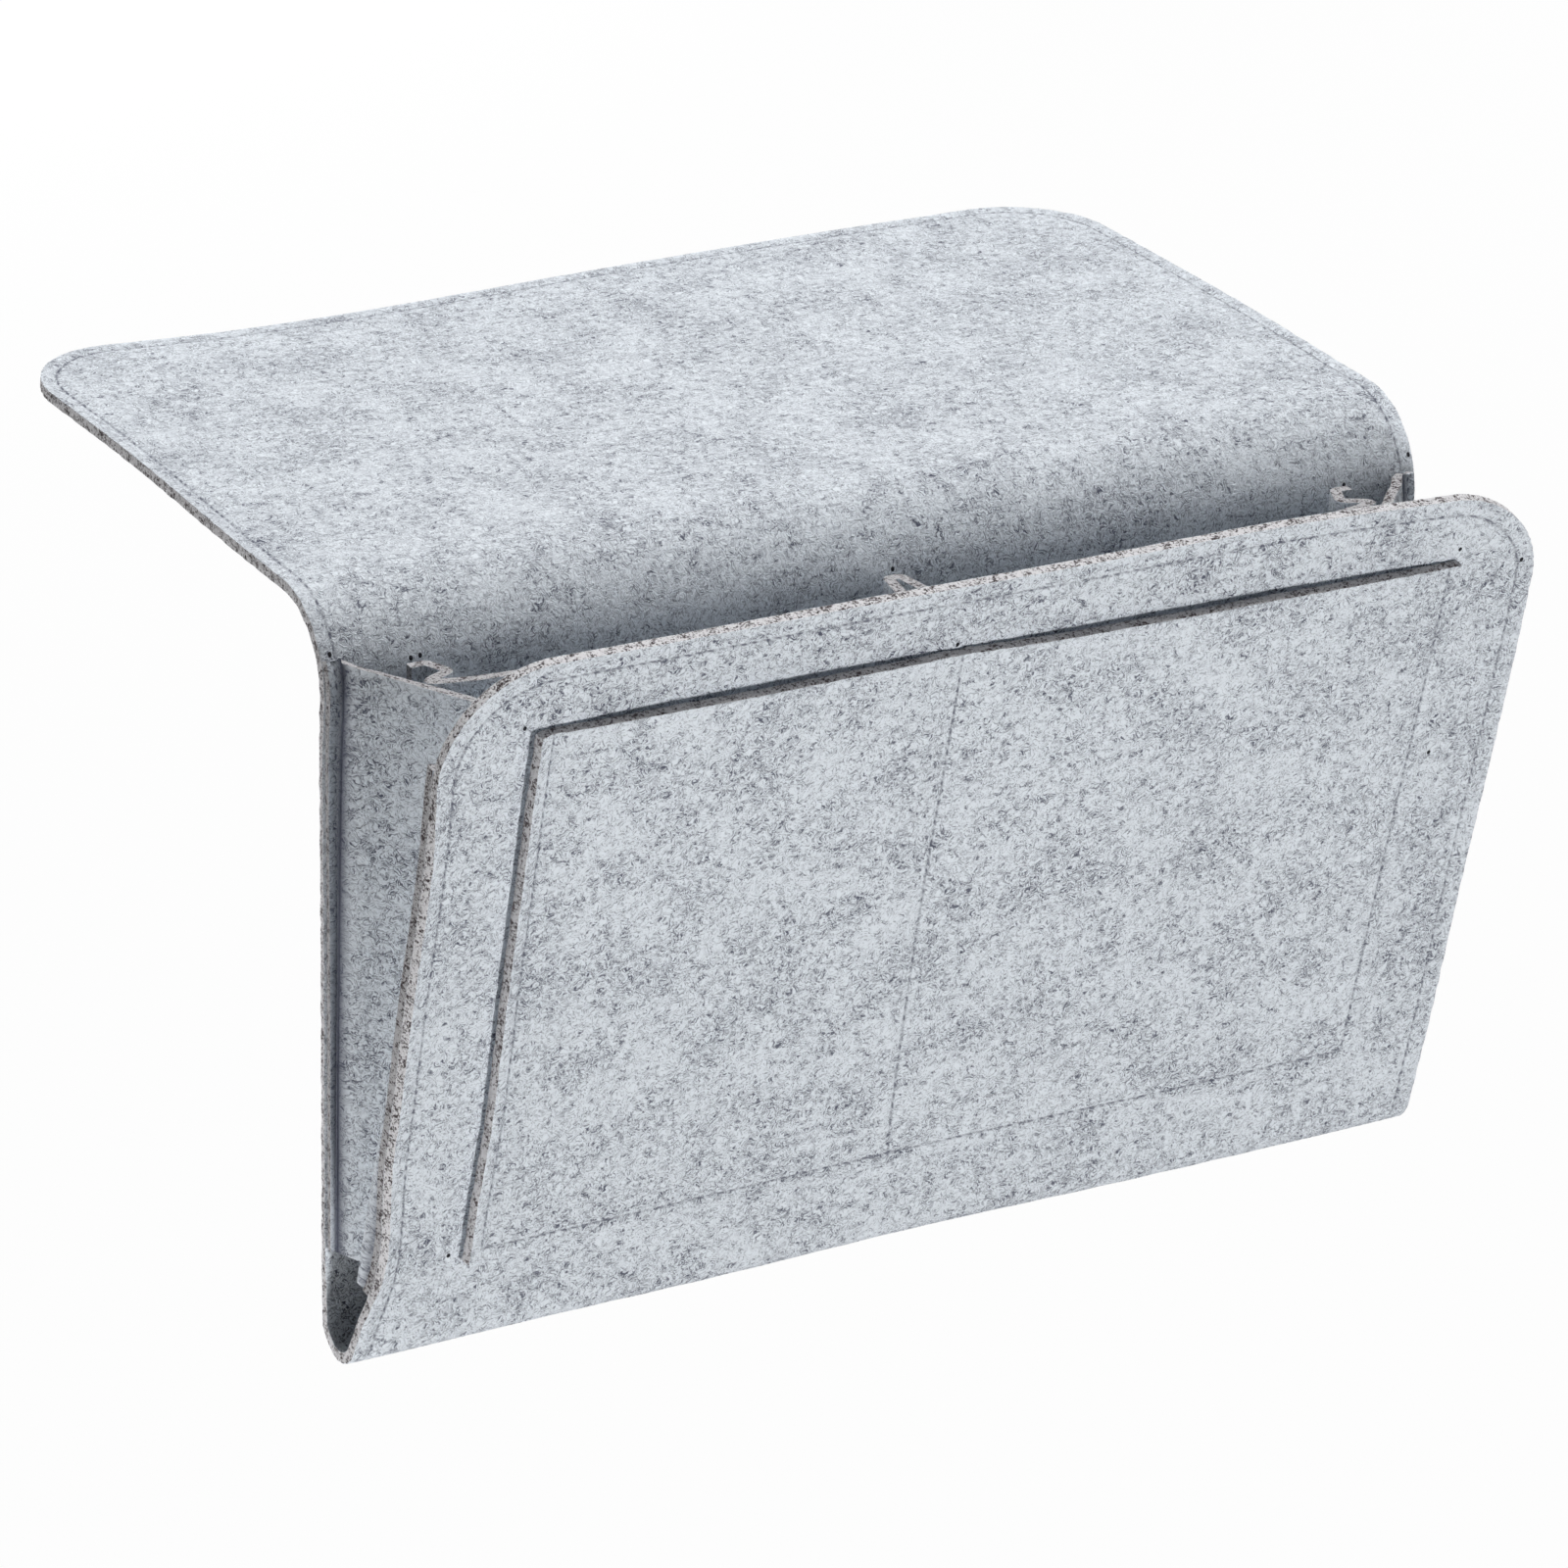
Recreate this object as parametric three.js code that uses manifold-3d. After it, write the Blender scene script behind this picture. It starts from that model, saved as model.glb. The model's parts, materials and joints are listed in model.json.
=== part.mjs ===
// Felt bedside caddy. A flap lies under the mattress, the sheet turns down the side of the bed,
// folds up again at the bottom and leans out as the front of an open pocket with pleated sides.
// A flat pocket is sewn on the front and a low pouch inside on the back.
// Millimetres and degrees, +X along the bed, +Y towards the bed, +Z up.
import * as THREE from 'three';
import { mergeVertices } from 'three/addons/utils/BufferGeometryUtils.js';
import Module from 'manifold-3d';

const wasm = await Module();
wasm.setup();

// Main sheet
const WIDTH = 320;
const FELT = 3;
const FLAP_LENGTH = 164;
const FLAP_CORNER_RADIUS = 29;
const BEND_RADIUS = 21;
const DROP = 192.5;
const FOLD_RADIUS = 6.5;
const LEAN = 13.5;
const FRONT_LENGTH = 210;
const FRONT_CORNER_RADIUS = 38;

// Pleated sides, measured from the bottom fold's centre and from the flap's underside
const FLANGE_WIDTH = 5;
const PLEAT_ANGLE = 43;
const PLEAT_LOW = 18;
const PLEAT_BELOW_FLAP = 10.5;
const PLEAT_DIP = 5;

// Flat pocket on the front, by its margins to the front panel
const PATCH_SIDE_MARGIN = 26;
const PATCH_TOP_MARGIN = 22;
const PATCH_LOW = 23;
const PATCH_GAPE = 2;
const PATCH_SEAM_OFFSET = -12;

// Pouch on the back panel inside
const POUCH_SIDE_MARGIN = 23;
const POUCH_BELOW_FLAP = 15.5;
const POUCH_HEIGHT = 103;
const POUCH_DEPTH = 13;
const POUCH_SIDE_RAMP = 26;
const POUCH_CENTRE_RAMP = 95;

// Sewing
const THREAD_WIDTH = 0.8;
const THREAD_HEIGHT = 0.4;
const FLAP_SEAM_INSET = 4;
const FRONT_SEAM_INSET = 5;
const POCKET_SEAM_INSET = 4;
const POCKET_SEAM_CORNER = 2;
const SEWN_BORDER = 7;
const CENTRE_SEAM_MARGIN = 6;

// Clearances between layers of felt, at the folds that swing and at the pleats' inner crease
const LAYER_GAP = 0.3;
const FOLD_GAP = 0.3;
const CREASE_GAP = 1.5;

// Facets
const ARC_STEPS = 5;
const CORNER_STEPS = 8;
const POUCH_COLUMNS = 36;
const POUCH_ROWS = 10;
const PATCH_COLUMNS = 20;
const PATCH_ROWS = 8;

// Colours of the felt and the thread
const FELT_LIGHT = '#cad0d6';
const FELT_FRONT = '#bec4ca';
const FELT_SHADED = '#a9adb3';
const THREAD_COLOUR = '#dfe3e7';

// Worked-out sizes
const HALF_WIDTH = WIDTH / 2;
const lean = THREE.MathUtils.degToRad(LEAN);
const pleatAngle = THREE.MathUtils.degToRad(PLEAT_ANGLE);
const quarter = Math.PI / 2;
const foldOuter = FOLD_RADIUS + FELT;
const foldMiddle = FOLD_RADIUS + FELT / 2;
const bendMiddle = BEND_RADIUS + FELT / 2;
const pivotToEnd = FELT / 2 + FOLD_GAP;
const pleatTop = DROP - PLEAT_BELOW_FLAP;
const pouchTop = DROP - POUCH_BELOW_FLAP;
const layerFace = FOLD_RADIUS - LAYER_GAP;
const flangeFace = layerFace - FELT;
const pleatAxisY = layerFace - FELT / 2;
const pleatAxisX = HALF_WIDTH - FLANGE_WIDTH - pivotToEnd;
const patchWidth = WIDTH - 2 * PATCH_SIDE_MARGIN;
const patchHeight = FRONT_LENGTH - PATCH_TOP_MARGIN - PATCH_LOW;
const pouchWidth = WIDTH - 2 * POUCH_SIDE_MARGIN;
const trimMargin = 2 * foldOuter;

// How the flat shapes below stand in the model: side profiles run along X, faces stand upright
const PROFILE_BASIS = new THREE.Matrix4().makeBasis(
  new THREE.Vector3(0, 1, 0),
  new THREE.Vector3(0, 0, 1),
  new THREE.Vector3(1, 0, 0),
);
const UPRIGHT_BASIS = new THREE.Matrix4().makeBasis(
  new THREE.Vector3(1, 0, 0),
  new THREE.Vector3(0, 0, 1),
  new THREE.Vector3(0, -1, 0),
);

function toSolid(geometry) {
  const plain = geometry.clone();
  plain.deleteAttribute('normal');
  plain.deleteAttribute('uv');
  const merged = mergeVertices(plain);
  const mesh = new wasm.Mesh({
    numProp: 3,
    vertProperties: Float32Array.from(merged.attributes.position.array),
    triVerts: Uint32Array.from(merged.index.array),
  });
  return new wasm.Manifold(mesh);
}

function toGeometry(solid) {
  const mesh = solid.getMesh();
  const geometry = new THREE.BufferGeometry();
  geometry.setAttribute('position', new THREE.BufferAttribute(mesh.vertProperties, 3));
  geometry.setIndex(new THREE.BufferAttribute(mesh.triVerts, 1));
  return geometry;
}

function common(first, second) {
  return toGeometry(toSolid(first).intersect(toSolid(second)));
}

// A side profile, drawn in Y and Z, as wide as asked and centred on X = 0
function alongX(profile, width, steps) {
  const geometry = new THREE.ExtrudeGeometry(profile, {
    depth: width,
    bevelEnabled: false,
    curveSegments: steps,
  });
  geometry.translate(0, 0, -width / 2);
  geometry.applyMatrix4(PROFILE_BASIS);
  return geometry;
}

// An outline drawn in X and Z, from the plane Y = face towards the front
function upright(outline, face, depth, steps) {
  const geometry = new THREE.ExtrudeGeometry(outline, {
    depth,
    bevelEnabled: false,
    curveSegments: steps,
  });
  geometry.applyMatrix4(UPRIGHT_BASIS);
  geometry.translate(0, face, 0);
  return geometry;
}

// The mirror image across X or Y, with its faces still pointing out
function mirrored(geometry, axis) {
  const image = geometry.index ? geometry.clone() : mergeVertices(geometry);
  const flip = axis === 'x' ? [-1, 1, 1] : [1, -1, 1];
  image.scale(...flip);
  const order = image.index.array;
  for (let i = 0; i < order.length; i += 3) {
    const kept = order[i];
    order[i] = order[i + 1];
    order[i + 1] = kept;
  }
  return image;
}

// A panel outline from low to high with both upper corners rounded
function panelOutline(halfWidth, low, high, radius) {
  const outline = new THREE.Shape();
  outline.moveTo(-halfWidth, low);
  outline.lineTo(halfWidth, low);
  outline.lineTo(halfWidth, high - radius);
  outline.absarc(halfWidth - radius, high - radius, radius, 0, quarter, false);
  outline.lineTo(radius - halfWidth, high);
  outline.absarc(radius - halfWidth, high - radius, radius, quarter, Math.PI, false);
  outline.closePath();
  return outline;
}

// A line of thread that follows both sides and the rounded upper edge of a panel
function threadOutline(halfWidth, low, high, radius) {
  const half = THREAD_WIDTH / 2;
  const outline = new THREE.Shape();
  const draw = (grow, start, turn) => {
    const side = start * (halfWidth + grow);
    const top = high + grow;
    const bend = radius + grow;
    const first = start > 0 ? 0 : Math.PI;
    outline.lineTo(side, low);
    outline.lineTo(side, top - bend);
    outline.absarc(side - start * bend, top - bend, bend, first, quarter, turn);
    outline.lineTo(start * bend - side, top);
    outline.absarc(start * bend - side, top - bend, bend, quarter, Math.PI - first, turn);
    outline.lineTo(-side, low);
  };
  outline.moveTo(-halfWidth - half, low);
  draw(half, -1, true);
  draw(-half, 1, false);
  outline.closePath();
  return outline;
}

// An upright felt panel, centred on X = 0 with its foot at Z = 0, whose back lies on the plane
// Y = face and whose middle stands forward of it by bulge(x, z)
function bulgedPanel(width, height, face, columns, rows, bulge) {
  const points = [];
  const corner = (i, j) => j * (columns + 1) + i;
  const layer = (columns + 1) * (rows + 1);
  for (const thickness of [FELT, 0]) {
    for (let j = 0; j <= rows; j += 1) {
      for (let i = 0; i <= columns; i += 1) {
        const x = width * (i / columns - 0.5);
        const z = height * (j / rows);
        points.push(x, face - thickness - bulge(x, z), z);
      }
    }
  }
  const order = [];
  for (let j = 0; j < rows; j += 1) {
    for (let i = 0; i < columns; i += 1) {
      const a = corner(i, j);
      const b = corner(i + 1, j);
      const c = corner(i + 1, j + 1);
      const d = corner(i, j + 1);
      order.push(a, b, c, a, c, d);
      order.push(layer + a, layer + c, layer + b, layer + a, layer + d, layer + c);
    }
  }
  const rim = [];
  for (let i = 0; i < columns; i += 1) rim.push(corner(i, 0));
  for (let j = 0; j < rows; j += 1) rim.push(corner(columns, j));
  for (let i = columns; i > 0; i -= 1) rim.push(corner(i, rows));
  for (let j = rows; j > 0; j -= 1) rim.push(corner(0, j));
  rim.forEach((a, k) => {
    const b = rim[(k + 1) % rim.length];
    order.push(a, layer + a, layer + b, a, layer + b, b);
  });
  const geometry = new THREE.BufferGeometry();
  geometry.setAttribute('position', new THREE.Float32BufferAttribute(points, 3));
  geometry.setIndex(order);
  return geometry;
}

// How far a pocket stands off between its side seams and the seam that divides it, from 0 to 1
function lobe(x, halfWidth, seamX, sideRamp, centreRamp) {
  const fromSide = halfWidth - SEWN_BORDER - Math.abs(x);
  const fromSeam = Math.abs(x - seamX) - SEWN_BORDER / 2;
  const side = THREE.MathUtils.smoothstep(fromSide, 0, sideRamp);
  const centre = THREE.MathUtils.smoothstep(fromSeam, 0, centreRamp);
  return side * centre;
}

function piece(name, geometry, colour, place) {
  const material = new THREE.MeshStandardMaterial({ color: colour, roughness: 0.95, metalness: 0 });
  geometry.computeVertexNormals();
  const mesh = new THREE.Mesh(geometry, material);
  mesh.name = name;
  place.add(mesh);
}

// The flap: flat with rounded rear corners, and the upper half of the bend down to a round edge
function flapPanel() {
  const rear = BEND_RADIUS + FLAP_LENGTH;
  const half = 1.5 * quarter;
  const profile = new THREE.Shape();
  profile.moveTo(rear, 0);
  profile.lineTo(BEND_RADIUS, 0);
  profile.absarc(BEND_RADIUS, -BEND_RADIUS, BEND_RADIUS, quarter, half, false);
  profile.absarc(
    BEND_RADIUS + bendMiddle * Math.cos(half),
    bendMiddle * Math.sin(half) - BEND_RADIUS,
    FELT / 2,
    half + Math.PI,
    half,
    true,
  );
  profile.absarc(BEND_RADIUS, -BEND_RADIUS, BEND_RADIUS + FELT, half, quarter, true);
  profile.lineTo(rear, FELT);
  profile.closePath();
  const sheet = alongX(profile, WIDTH + trimMargin, ARC_STEPS);
  const plan = new THREE.ExtrudeGeometry(
    panelOutline(HALF_WIDTH, -trimMargin, rear, FLAP_CORNER_RADIUS),
    { depth: 2 * BEND_RADIUS, bevelEnabled: false, curveSegments: CORNER_STEPS },
  );
  plan.translate(0, 0, FELT + LAYER_GAP - 2 * BEND_RADIUS);
  return common(sheet, plan);
}

function flapSeam() {
  const outline = threadOutline(
    HALF_WIDTH - FLAP_SEAM_INSET,
    BEND_RADIUS,
    BEND_RADIUS + FLAP_LENGTH - FLAP_SEAM_INSET,
    FLAP_CORNER_RADIUS - FLAP_SEAM_INSET,
  );
  const seam = new THREE.ExtrudeGeometry(outline, {
    depth: THREAD_HEIGHT,
    bevelEnabled: false,
    curveSegments: CORNER_STEPS,
  });
  seam.translate(0, 0, FELT + LAYER_GAP);
  return seam;
}

// The back panel: the lower half of the bend, the straight drop and a quarter of the bottom fold,
// which ends in a round edge at the lowest point
function backPanel() {
  const start = 1.5 * quarter + pivotToEnd / bendMiddle;
  const profile = new THREE.Shape();
  profile.absarc(BEND_RADIUS, -BEND_RADIUS, BEND_RADIUS, start, Math.PI, false);
  profile.lineTo(0, -DROP);
  profile.absarc(-foldOuter, -DROP, foldOuter, 0, -quarter, true);
  profile.absarc(-foldOuter, -DROP - foldMiddle, FELT / 2, -quarter, quarter, true);
  profile.absarc(-foldOuter, -DROP, FOLD_RADIUS, -quarter, 0, false);
  profile.lineTo(-FELT, -BEND_RADIUS);
  profile.absarc(BEND_RADIUS, -BEND_RADIUS, BEND_RADIUS + FELT, Math.PI, start, true);
  profile.closePath();
  return alongX(profile, WIDTH, ARC_STEPS);
}

// The front panel, in a frame on the bottom fold's centre that leans with it
function frontPanel() {
  const end = 3 * quarter - lean - pivotToEnd / foldMiddle;
  const profile = new THREE.Shape();
  profile.moveTo(-foldOuter, FRONT_LENGTH);
  profile.lineTo(-foldOuter, 0);
  profile.absarc(0, 0, foldOuter, Math.PI, end, false);
  profile.absarc(0, 0, FOLD_RADIUS, end, Math.PI, true);
  profile.lineTo(-FOLD_RADIUS, FRONT_LENGTH);
  profile.closePath();
  return common(alongX(profile, WIDTH + trimMargin, ARC_STEPS), frontTrim());
}

// Everything on the front panel stays inside its outline
function frontTrim() {
  const outline = panelOutline(HALF_WIDTH, -trimMargin, FRONT_LENGTH, FRONT_CORNER_RADIUS);
  return upright(outline, trimMargin, 2 * trimMargin, CORNER_STEPS);
}

function frontSeam() {
  const outline = threadOutline(
    HALF_WIDTH - FRONT_SEAM_INSET,
    0,
    FRONT_LENGTH - FRONT_SEAM_INSET,
    FRONT_CORNER_RADIUS - FRONT_SEAM_INSET,
  );
  return upright(outline, -foldOuter - LAYER_GAP, THREAD_HEIGHT, CORNER_STEPS);
}

// One sewn edge of a pleat, flat against the back panel on the left
function pleatFlange() {
  const flange = new THREE.BoxGeometry(FLANGE_WIDTH, FELT, pleatTop - PLEAT_LOW);
  flange.translate(
    FLANGE_WIDTH / 2 - HALF_WIDTH,
    layerFace - FELT / 2,
    (pleatTop + PLEAT_LOW) / 2,
  );
  return flange;
}

function pleatSeam() {
  const seam = new THREE.BoxGeometry(THREAD_WIDTH, THREAD_HEIGHT, pleatTop - PLEAT_LOW - FLANGE_WIDTH);
  seam.translate(
    FLANGE_WIDTH / 2 - HALF_WIDTH,
    flangeFace - LAYER_GAP - THREAD_HEIGHT / 2,
    (pleatTop + PLEAT_LOW) / 2,
  );
  return seam;
}

// The rear half of the left pleat: it turns on a round edge beside the flange, runs forward and
// inward, and is mitred on the plane halfway between the back and front panels
function pleatWall() {
  const creaseY = (z) => CREASE_GAP / 2 / Math.cos(lean / 2) - z * Math.tan(lean / 2);
  const reach = (pleatAxisY + FELT - creaseY(pleatTop)) / Math.cos(pleatAngle);
  const plan = new THREE.Shape();
  plan.moveTo(reach, FELT / 2);
  plan.absarc(0, 0, FELT / 2, quarter, 3 * quarter, false);
  plan.lineTo(reach, -FELT / 2);
  plan.closePath();
  const plate = new THREE.ExtrudeGeometry(plan, {
    depth: pleatTop + FELT,
    bevelEnabled: false,
    curveSegments: ARC_STEPS,
  });
  plate.rotateZ(pleatAngle - quarter);
  plate.translate(-pleatAxisX, pleatAxisY, 0);
  const creaseTop = pleatTop - PLEAT_DIP;
  const side = new THREE.Shape();
  side.moveTo(pleatAxisY + FELT, PLEAT_LOW);
  side.lineTo(creaseY(PLEAT_LOW), PLEAT_LOW);
  side.lineTo(creaseY(creaseTop), creaseTop);
  side.lineTo(pleatAxisY, pleatTop);
  side.lineTo(pleatAxisY + FELT, pleatTop);
  side.closePath();
  return common(plate, alongX(side, WIDTH + trimMargin, 1));
}

// The flat pocket on the front: sewn on three sides and divided by a seam left of its middle, with a
// mouth that stands open a little
function patchPocket() {
  const halfWidth = patchWidth / 2;
  const ramp = halfWidth / 2 - SEWN_BORDER;
  const bulge = (x, z) => PATCH_GAPE
    * lobe(x, halfWidth, PATCH_SEAM_OFFSET, ramp, ramp)
    * THREE.MathUtils.smoothstep(z, patchHeight / 2, patchHeight);
  const pocket = bulgedPanel(
    patchWidth, patchHeight, -foldOuter - LAYER_GAP, PATCH_COLUMNS, PATCH_ROWS, bulge,
  );
  pocket.translate(0, 0, PATCH_LOW);
  return pocket;
}

// The pouch inside: its foot, sides and centre are sewn to the back panel, its mouth stands open
function innerPouch() {
  const halfWidth = pouchWidth / 2;
  const bulge = (x, z) => POUCH_DEPTH
    * lobe(x, halfWidth, 0, POUCH_SIDE_RAMP, POUCH_CENTRE_RAMP)
    * THREE.MathUtils.smoothstep(z, SEWN_BORDER, POUCH_HEIGHT);
  const pouch = bulgedPanel(pouchWidth, POUCH_HEIGHT, layerFace, POUCH_COLUMNS, POUCH_ROWS, bulge);
  pouch.translate(0, 0, pouchTop - POUCH_HEIGHT);
  return pouch;
}

// The thread round the two sides and the foot of a pocket whose foot is at Z = 0
function pocketSeam(width, height, face) {
  const outline = threadOutline(
    width / 2 - POCKET_SEAM_INSET,
    -height + POCKET_SEAM_INSET,
    -POCKET_SEAM_INSET,
    POCKET_SEAM_CORNER,
  );
  const seam = upright(outline, 0, THREAD_HEIGHT, 1);
  seam.rotateY(Math.PI);
  seam.translate(0, face - LAYER_GAP, 0);
  return seam;
}

function centreSeam(height, face) {
  const seam = new THREE.BoxGeometry(THREAD_WIDTH, THREAD_HEIGHT, height - 2 * CENTRE_SEAM_MARGIN);
  seam.translate(0, face - LAYER_GAP - THREAD_HEIGHT / 2, height / 2);
  return seam;
}

const caddy = new THREE.Group();
caddy.position.y = -BEND_RADIUS - FLAP_LENGTH / 2;

// Both panels that meet at the bottom fold have a frame on its centre
const backFrame = new THREE.Group();
backFrame.position.set(0, -foldOuter, -DROP);
const frontFrame = new THREE.Group();
frontFrame.position.copy(backFrame.position);
frontFrame.rotation.x = lean;
caddy.add(backFrame, frontFrame);

piece('flap_panel', flapPanel(), FELT_LIGHT, caddy);
piece('flap_edge_seam', flapSeam(), THREAD_COLOUR, caddy);
piece('back_panel', backPanel(), FELT_LIGHT, caddy);
piece('front_panel', frontPanel(), FELT_FRONT, frontFrame);
piece('front_edge_seam', frontSeam(), THREAD_COLOUR, frontFrame);

for (const side of ['left', 'right']) {
  const turned = (geometry) => (side === 'left' ? geometry : mirrored(geometry, 'x'));
  const frontFlange = common(mirrored(pleatFlange(), 'y'), frontTrim());
  piece(`${side}_rear_flange`, turned(pleatFlange()), FELT_SHADED, backFrame);
  piece(`${side}_rear_seam`, turned(pleatSeam()), THREAD_COLOUR, backFrame);
  piece(`${side}_rear_pleat`, turned(pleatWall()), FELT_SHADED, backFrame);
  piece(`${side}_front_flange`, turned(frontFlange), FELT_SHADED, frontFrame);
  piece(`${side}_front_pleat`, turned(mirrored(pleatWall(), 'y')), FELT_SHADED, frontFrame);
}

const patchFace = -foldOuter - LAYER_GAP - FELT;
const patchEdge = pocketSeam(patchWidth, patchHeight, patchFace);
const patchCentre = centreSeam(patchHeight, patchFace);
patchEdge.translate(0, 0, PATCH_LOW);
patchCentre.translate(PATCH_SEAM_OFFSET, 0, PATCH_LOW);
piece('patch_pocket', patchPocket(), FELT_FRONT, frontFrame);
piece('patch_edge_seam', patchEdge, THREAD_COLOUR, frontFrame);
piece('patch_centre_seam', patchCentre, THREAD_COLOUR, frontFrame);

const pouchEdge = pocketSeam(pouchWidth, POUCH_HEIGHT, flangeFace);
const pouchCentre = centreSeam(POUCH_HEIGHT, flangeFace);
pouchEdge.translate(0, 0, pouchTop - POUCH_HEIGHT);
pouchCentre.translate(0, 0, pouchTop - POUCH_HEIGHT);
piece('inner_pouch', innerPouch(), FELT_SHADED, backFrame);
piece('pouch_edge_seam', pouchEdge, THREAD_COLOUR, backFrame);
piece('pouch_centre_seam', pouchCentre, THREAD_COLOUR, backFrame);

export default caddy;
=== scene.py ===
import json
import math

import bmesh
import bpy
import numpy as np
from bpy.props import FloatProperty, FloatVectorProperty, PointerProperty
from mathutils import Matrix, Vector


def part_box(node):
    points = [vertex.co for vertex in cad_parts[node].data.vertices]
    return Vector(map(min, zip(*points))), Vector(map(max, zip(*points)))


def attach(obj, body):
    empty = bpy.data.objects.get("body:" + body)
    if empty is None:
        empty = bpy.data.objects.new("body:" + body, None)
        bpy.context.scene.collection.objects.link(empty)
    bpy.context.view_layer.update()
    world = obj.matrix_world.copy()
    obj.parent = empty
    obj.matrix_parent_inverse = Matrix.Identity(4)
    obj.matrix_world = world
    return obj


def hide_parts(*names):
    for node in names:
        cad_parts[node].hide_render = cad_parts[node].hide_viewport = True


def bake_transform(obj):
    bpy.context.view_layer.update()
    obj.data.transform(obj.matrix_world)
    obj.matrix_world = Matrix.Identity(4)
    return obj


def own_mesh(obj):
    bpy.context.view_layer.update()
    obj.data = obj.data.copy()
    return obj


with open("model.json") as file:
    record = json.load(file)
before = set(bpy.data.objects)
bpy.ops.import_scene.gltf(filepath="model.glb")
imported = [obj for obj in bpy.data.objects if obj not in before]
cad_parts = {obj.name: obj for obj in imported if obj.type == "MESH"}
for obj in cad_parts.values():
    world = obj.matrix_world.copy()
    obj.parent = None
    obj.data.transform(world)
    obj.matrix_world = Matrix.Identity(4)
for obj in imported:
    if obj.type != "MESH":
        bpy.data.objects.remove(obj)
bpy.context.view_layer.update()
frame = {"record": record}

bl_info = {
    "name": "Felt bedside caddy",
    "version": (1, 0, 0),
    "blender": (4, 5, 0),
    "location": "View3D > Sidebar > Caddy",
    "description": "Cuts, folds and sews a felt bedside caddy around its measured solids",
    "category": "Add Mesh",
}

MM = 0.001
FELT_CLEAR = 0.1 * MM  # between two layers of felt
FAR = 99 * MM  # past the reach of any seam or rim

# What the solids and the joints give: two panels' boxes, the back's flat face and the places of the hinges
BACK_LOW, BACK_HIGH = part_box("back_panel")
_, FLAP_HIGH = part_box("flap_panel")
MOUNTS = {mount["name"]: mount["pos_m"] for mount in frame["record"]["mounts"]}
BACK_FACE = MOUNTS["back_face"][1]


class CaddySizes(bpy.types.PropertyGroup):
    """Sizes of the cut felt and of the sewing"""

    width: FloatProperty(
        name="Width", description="Width of the main sheet",
        default=BACK_HIGH.x - BACK_LOW.x, unit="LENGTH",
    )
    felt: FloatProperty(
        name="Felt", description="Thickness of the felt",
        default=FLAP_HIGH.z, unit="LENGTH",
    )
    flap_length: FloatProperty(
        name="Flap length", description="Flat part of the flap, from its rear edge to the bend",
        default=164 * MM, unit="LENGTH",
    )
    flap_corner: FloatProperty(
        name="Flap corner", description="Radius of the flap's rear corners",
        default=29 * MM, unit="LENGTH",
    )
    bend_radius: FloatProperty(
        name="Bend radius", description="Inner radius of the bend between flap and back",
        default=21 * MM, unit="LENGTH",
    )
    fold_radius: FloatProperty(
        name="Fold radius", description="Inner radius of the bottom fold",
        default=6.5 * MM, unit="LENGTH",
    )
    fold_height: FloatProperty(
        name="Fold height", description="Height of the bottom fold's centre",
        default=-192.5 * MM, unit="LENGTH",
    )
    lean: FloatProperty(
        name="Lean", description="How far the front panel leans out",
        default=math.radians(13.5), subtype="ANGLE",
    )
    front_length: FloatProperty(
        name="Front length", description="Front panel from the bottom fold to its top edge",
        default=210 * MM, unit="LENGTH",
    )
    front_corner: FloatProperty(
        name="Front corner", description="Radius of the front panel's upper corners",
        default=31 * MM, unit="LENGTH",
    )
    flap_seam: FloatProperty(
        name="Flap seam", description="Distance of the flap's stitching from its cut edge",
        default=4 * MM, unit="LENGTH",
    )
    front_seam: FloatProperty(
        name="Front seam", description="Distance of the front's stitching from its cut edge",
        default=5 * MM, unit="LENGTH",
    )
    pocket_seam: FloatProperty(
        name="Pocket seam", description="Distance of a pocket's stitching from its cut edge",
        default=4 * MM, unit="LENGTH",
    )
    stitch: FloatProperty(
        name="Stitch", description="Length from one stitch to the next",
        default=3.1 * MM, unit="LENGTH",
    )
    thread: FloatProperty(
        name="Thread", description="Thickness of the thread",
        default=0.5 * MM, unit="LENGTH",
    )


class CaddyColours(bpy.types.PropertyGroup):
    """Colours of the felt, the thread and the punched marks"""

    felt_light: FloatVectorProperty(
        name="Felt, light", description="Light wool of the felt",
        default=(0.895, 0.945, 1.0), subtype="COLOR", size=3,
    )
    felt_dark: FloatVectorProperty(
        name="Felt, dark", description="Dark fibres of the felt",
        default=(0.112, 0.12, 0.165), subtype="COLOR", size=3,
    )
    cut_light: FloatVectorProperty(
        name="Cut edge, light", description="Light flecks of a cut edge",
        default=(0.80, 0.79, 0.81), subtype="COLOR", size=3,
    )
    cut_dark: FloatVectorProperty(
        name="Cut edge, dark", description="Dark flecks of a cut edge",
        default=(0.085, 0.07, 0.072), subtype="COLOR", size=3,
    )
    thread: FloatVectorProperty(
        name="Thread", description="Sewing thread",
        default=(0.66, 0.69, 0.72), subtype="COLOR", size=3,
    )
    mark: FloatVectorProperty(
        name="Mark", description="Punched marks that guide the sewing",
        default=(0.012, 0.012, 0.014), subtype="COLOR", size=3,
    )


def sizes():
    return bpy.context.scene.caddy_sizes


def colours():
    return bpy.context.scene.caddy_colours


# ---- Where the felt lies -------------------------------------------------------------------------


def smooth(value):
    value = np.clip(value, 0, 1)
    return value * value * (3 - 2 * value)


def ripple(x, v):
    """The felt's slight waves, the same for all that is sewn to it."""
    wave = np.sin(31 * x + 17 * v + 0.7) + 0.8 * np.sin(-23 * x + 29 * v + 2.1)
    fine = np.sin(61 * x - 47 * v + 1.3) + np.sin(53 * x + 71 * v + 4.0)
    return (0.22 * wave + 0.10 * fine) * MM


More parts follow.
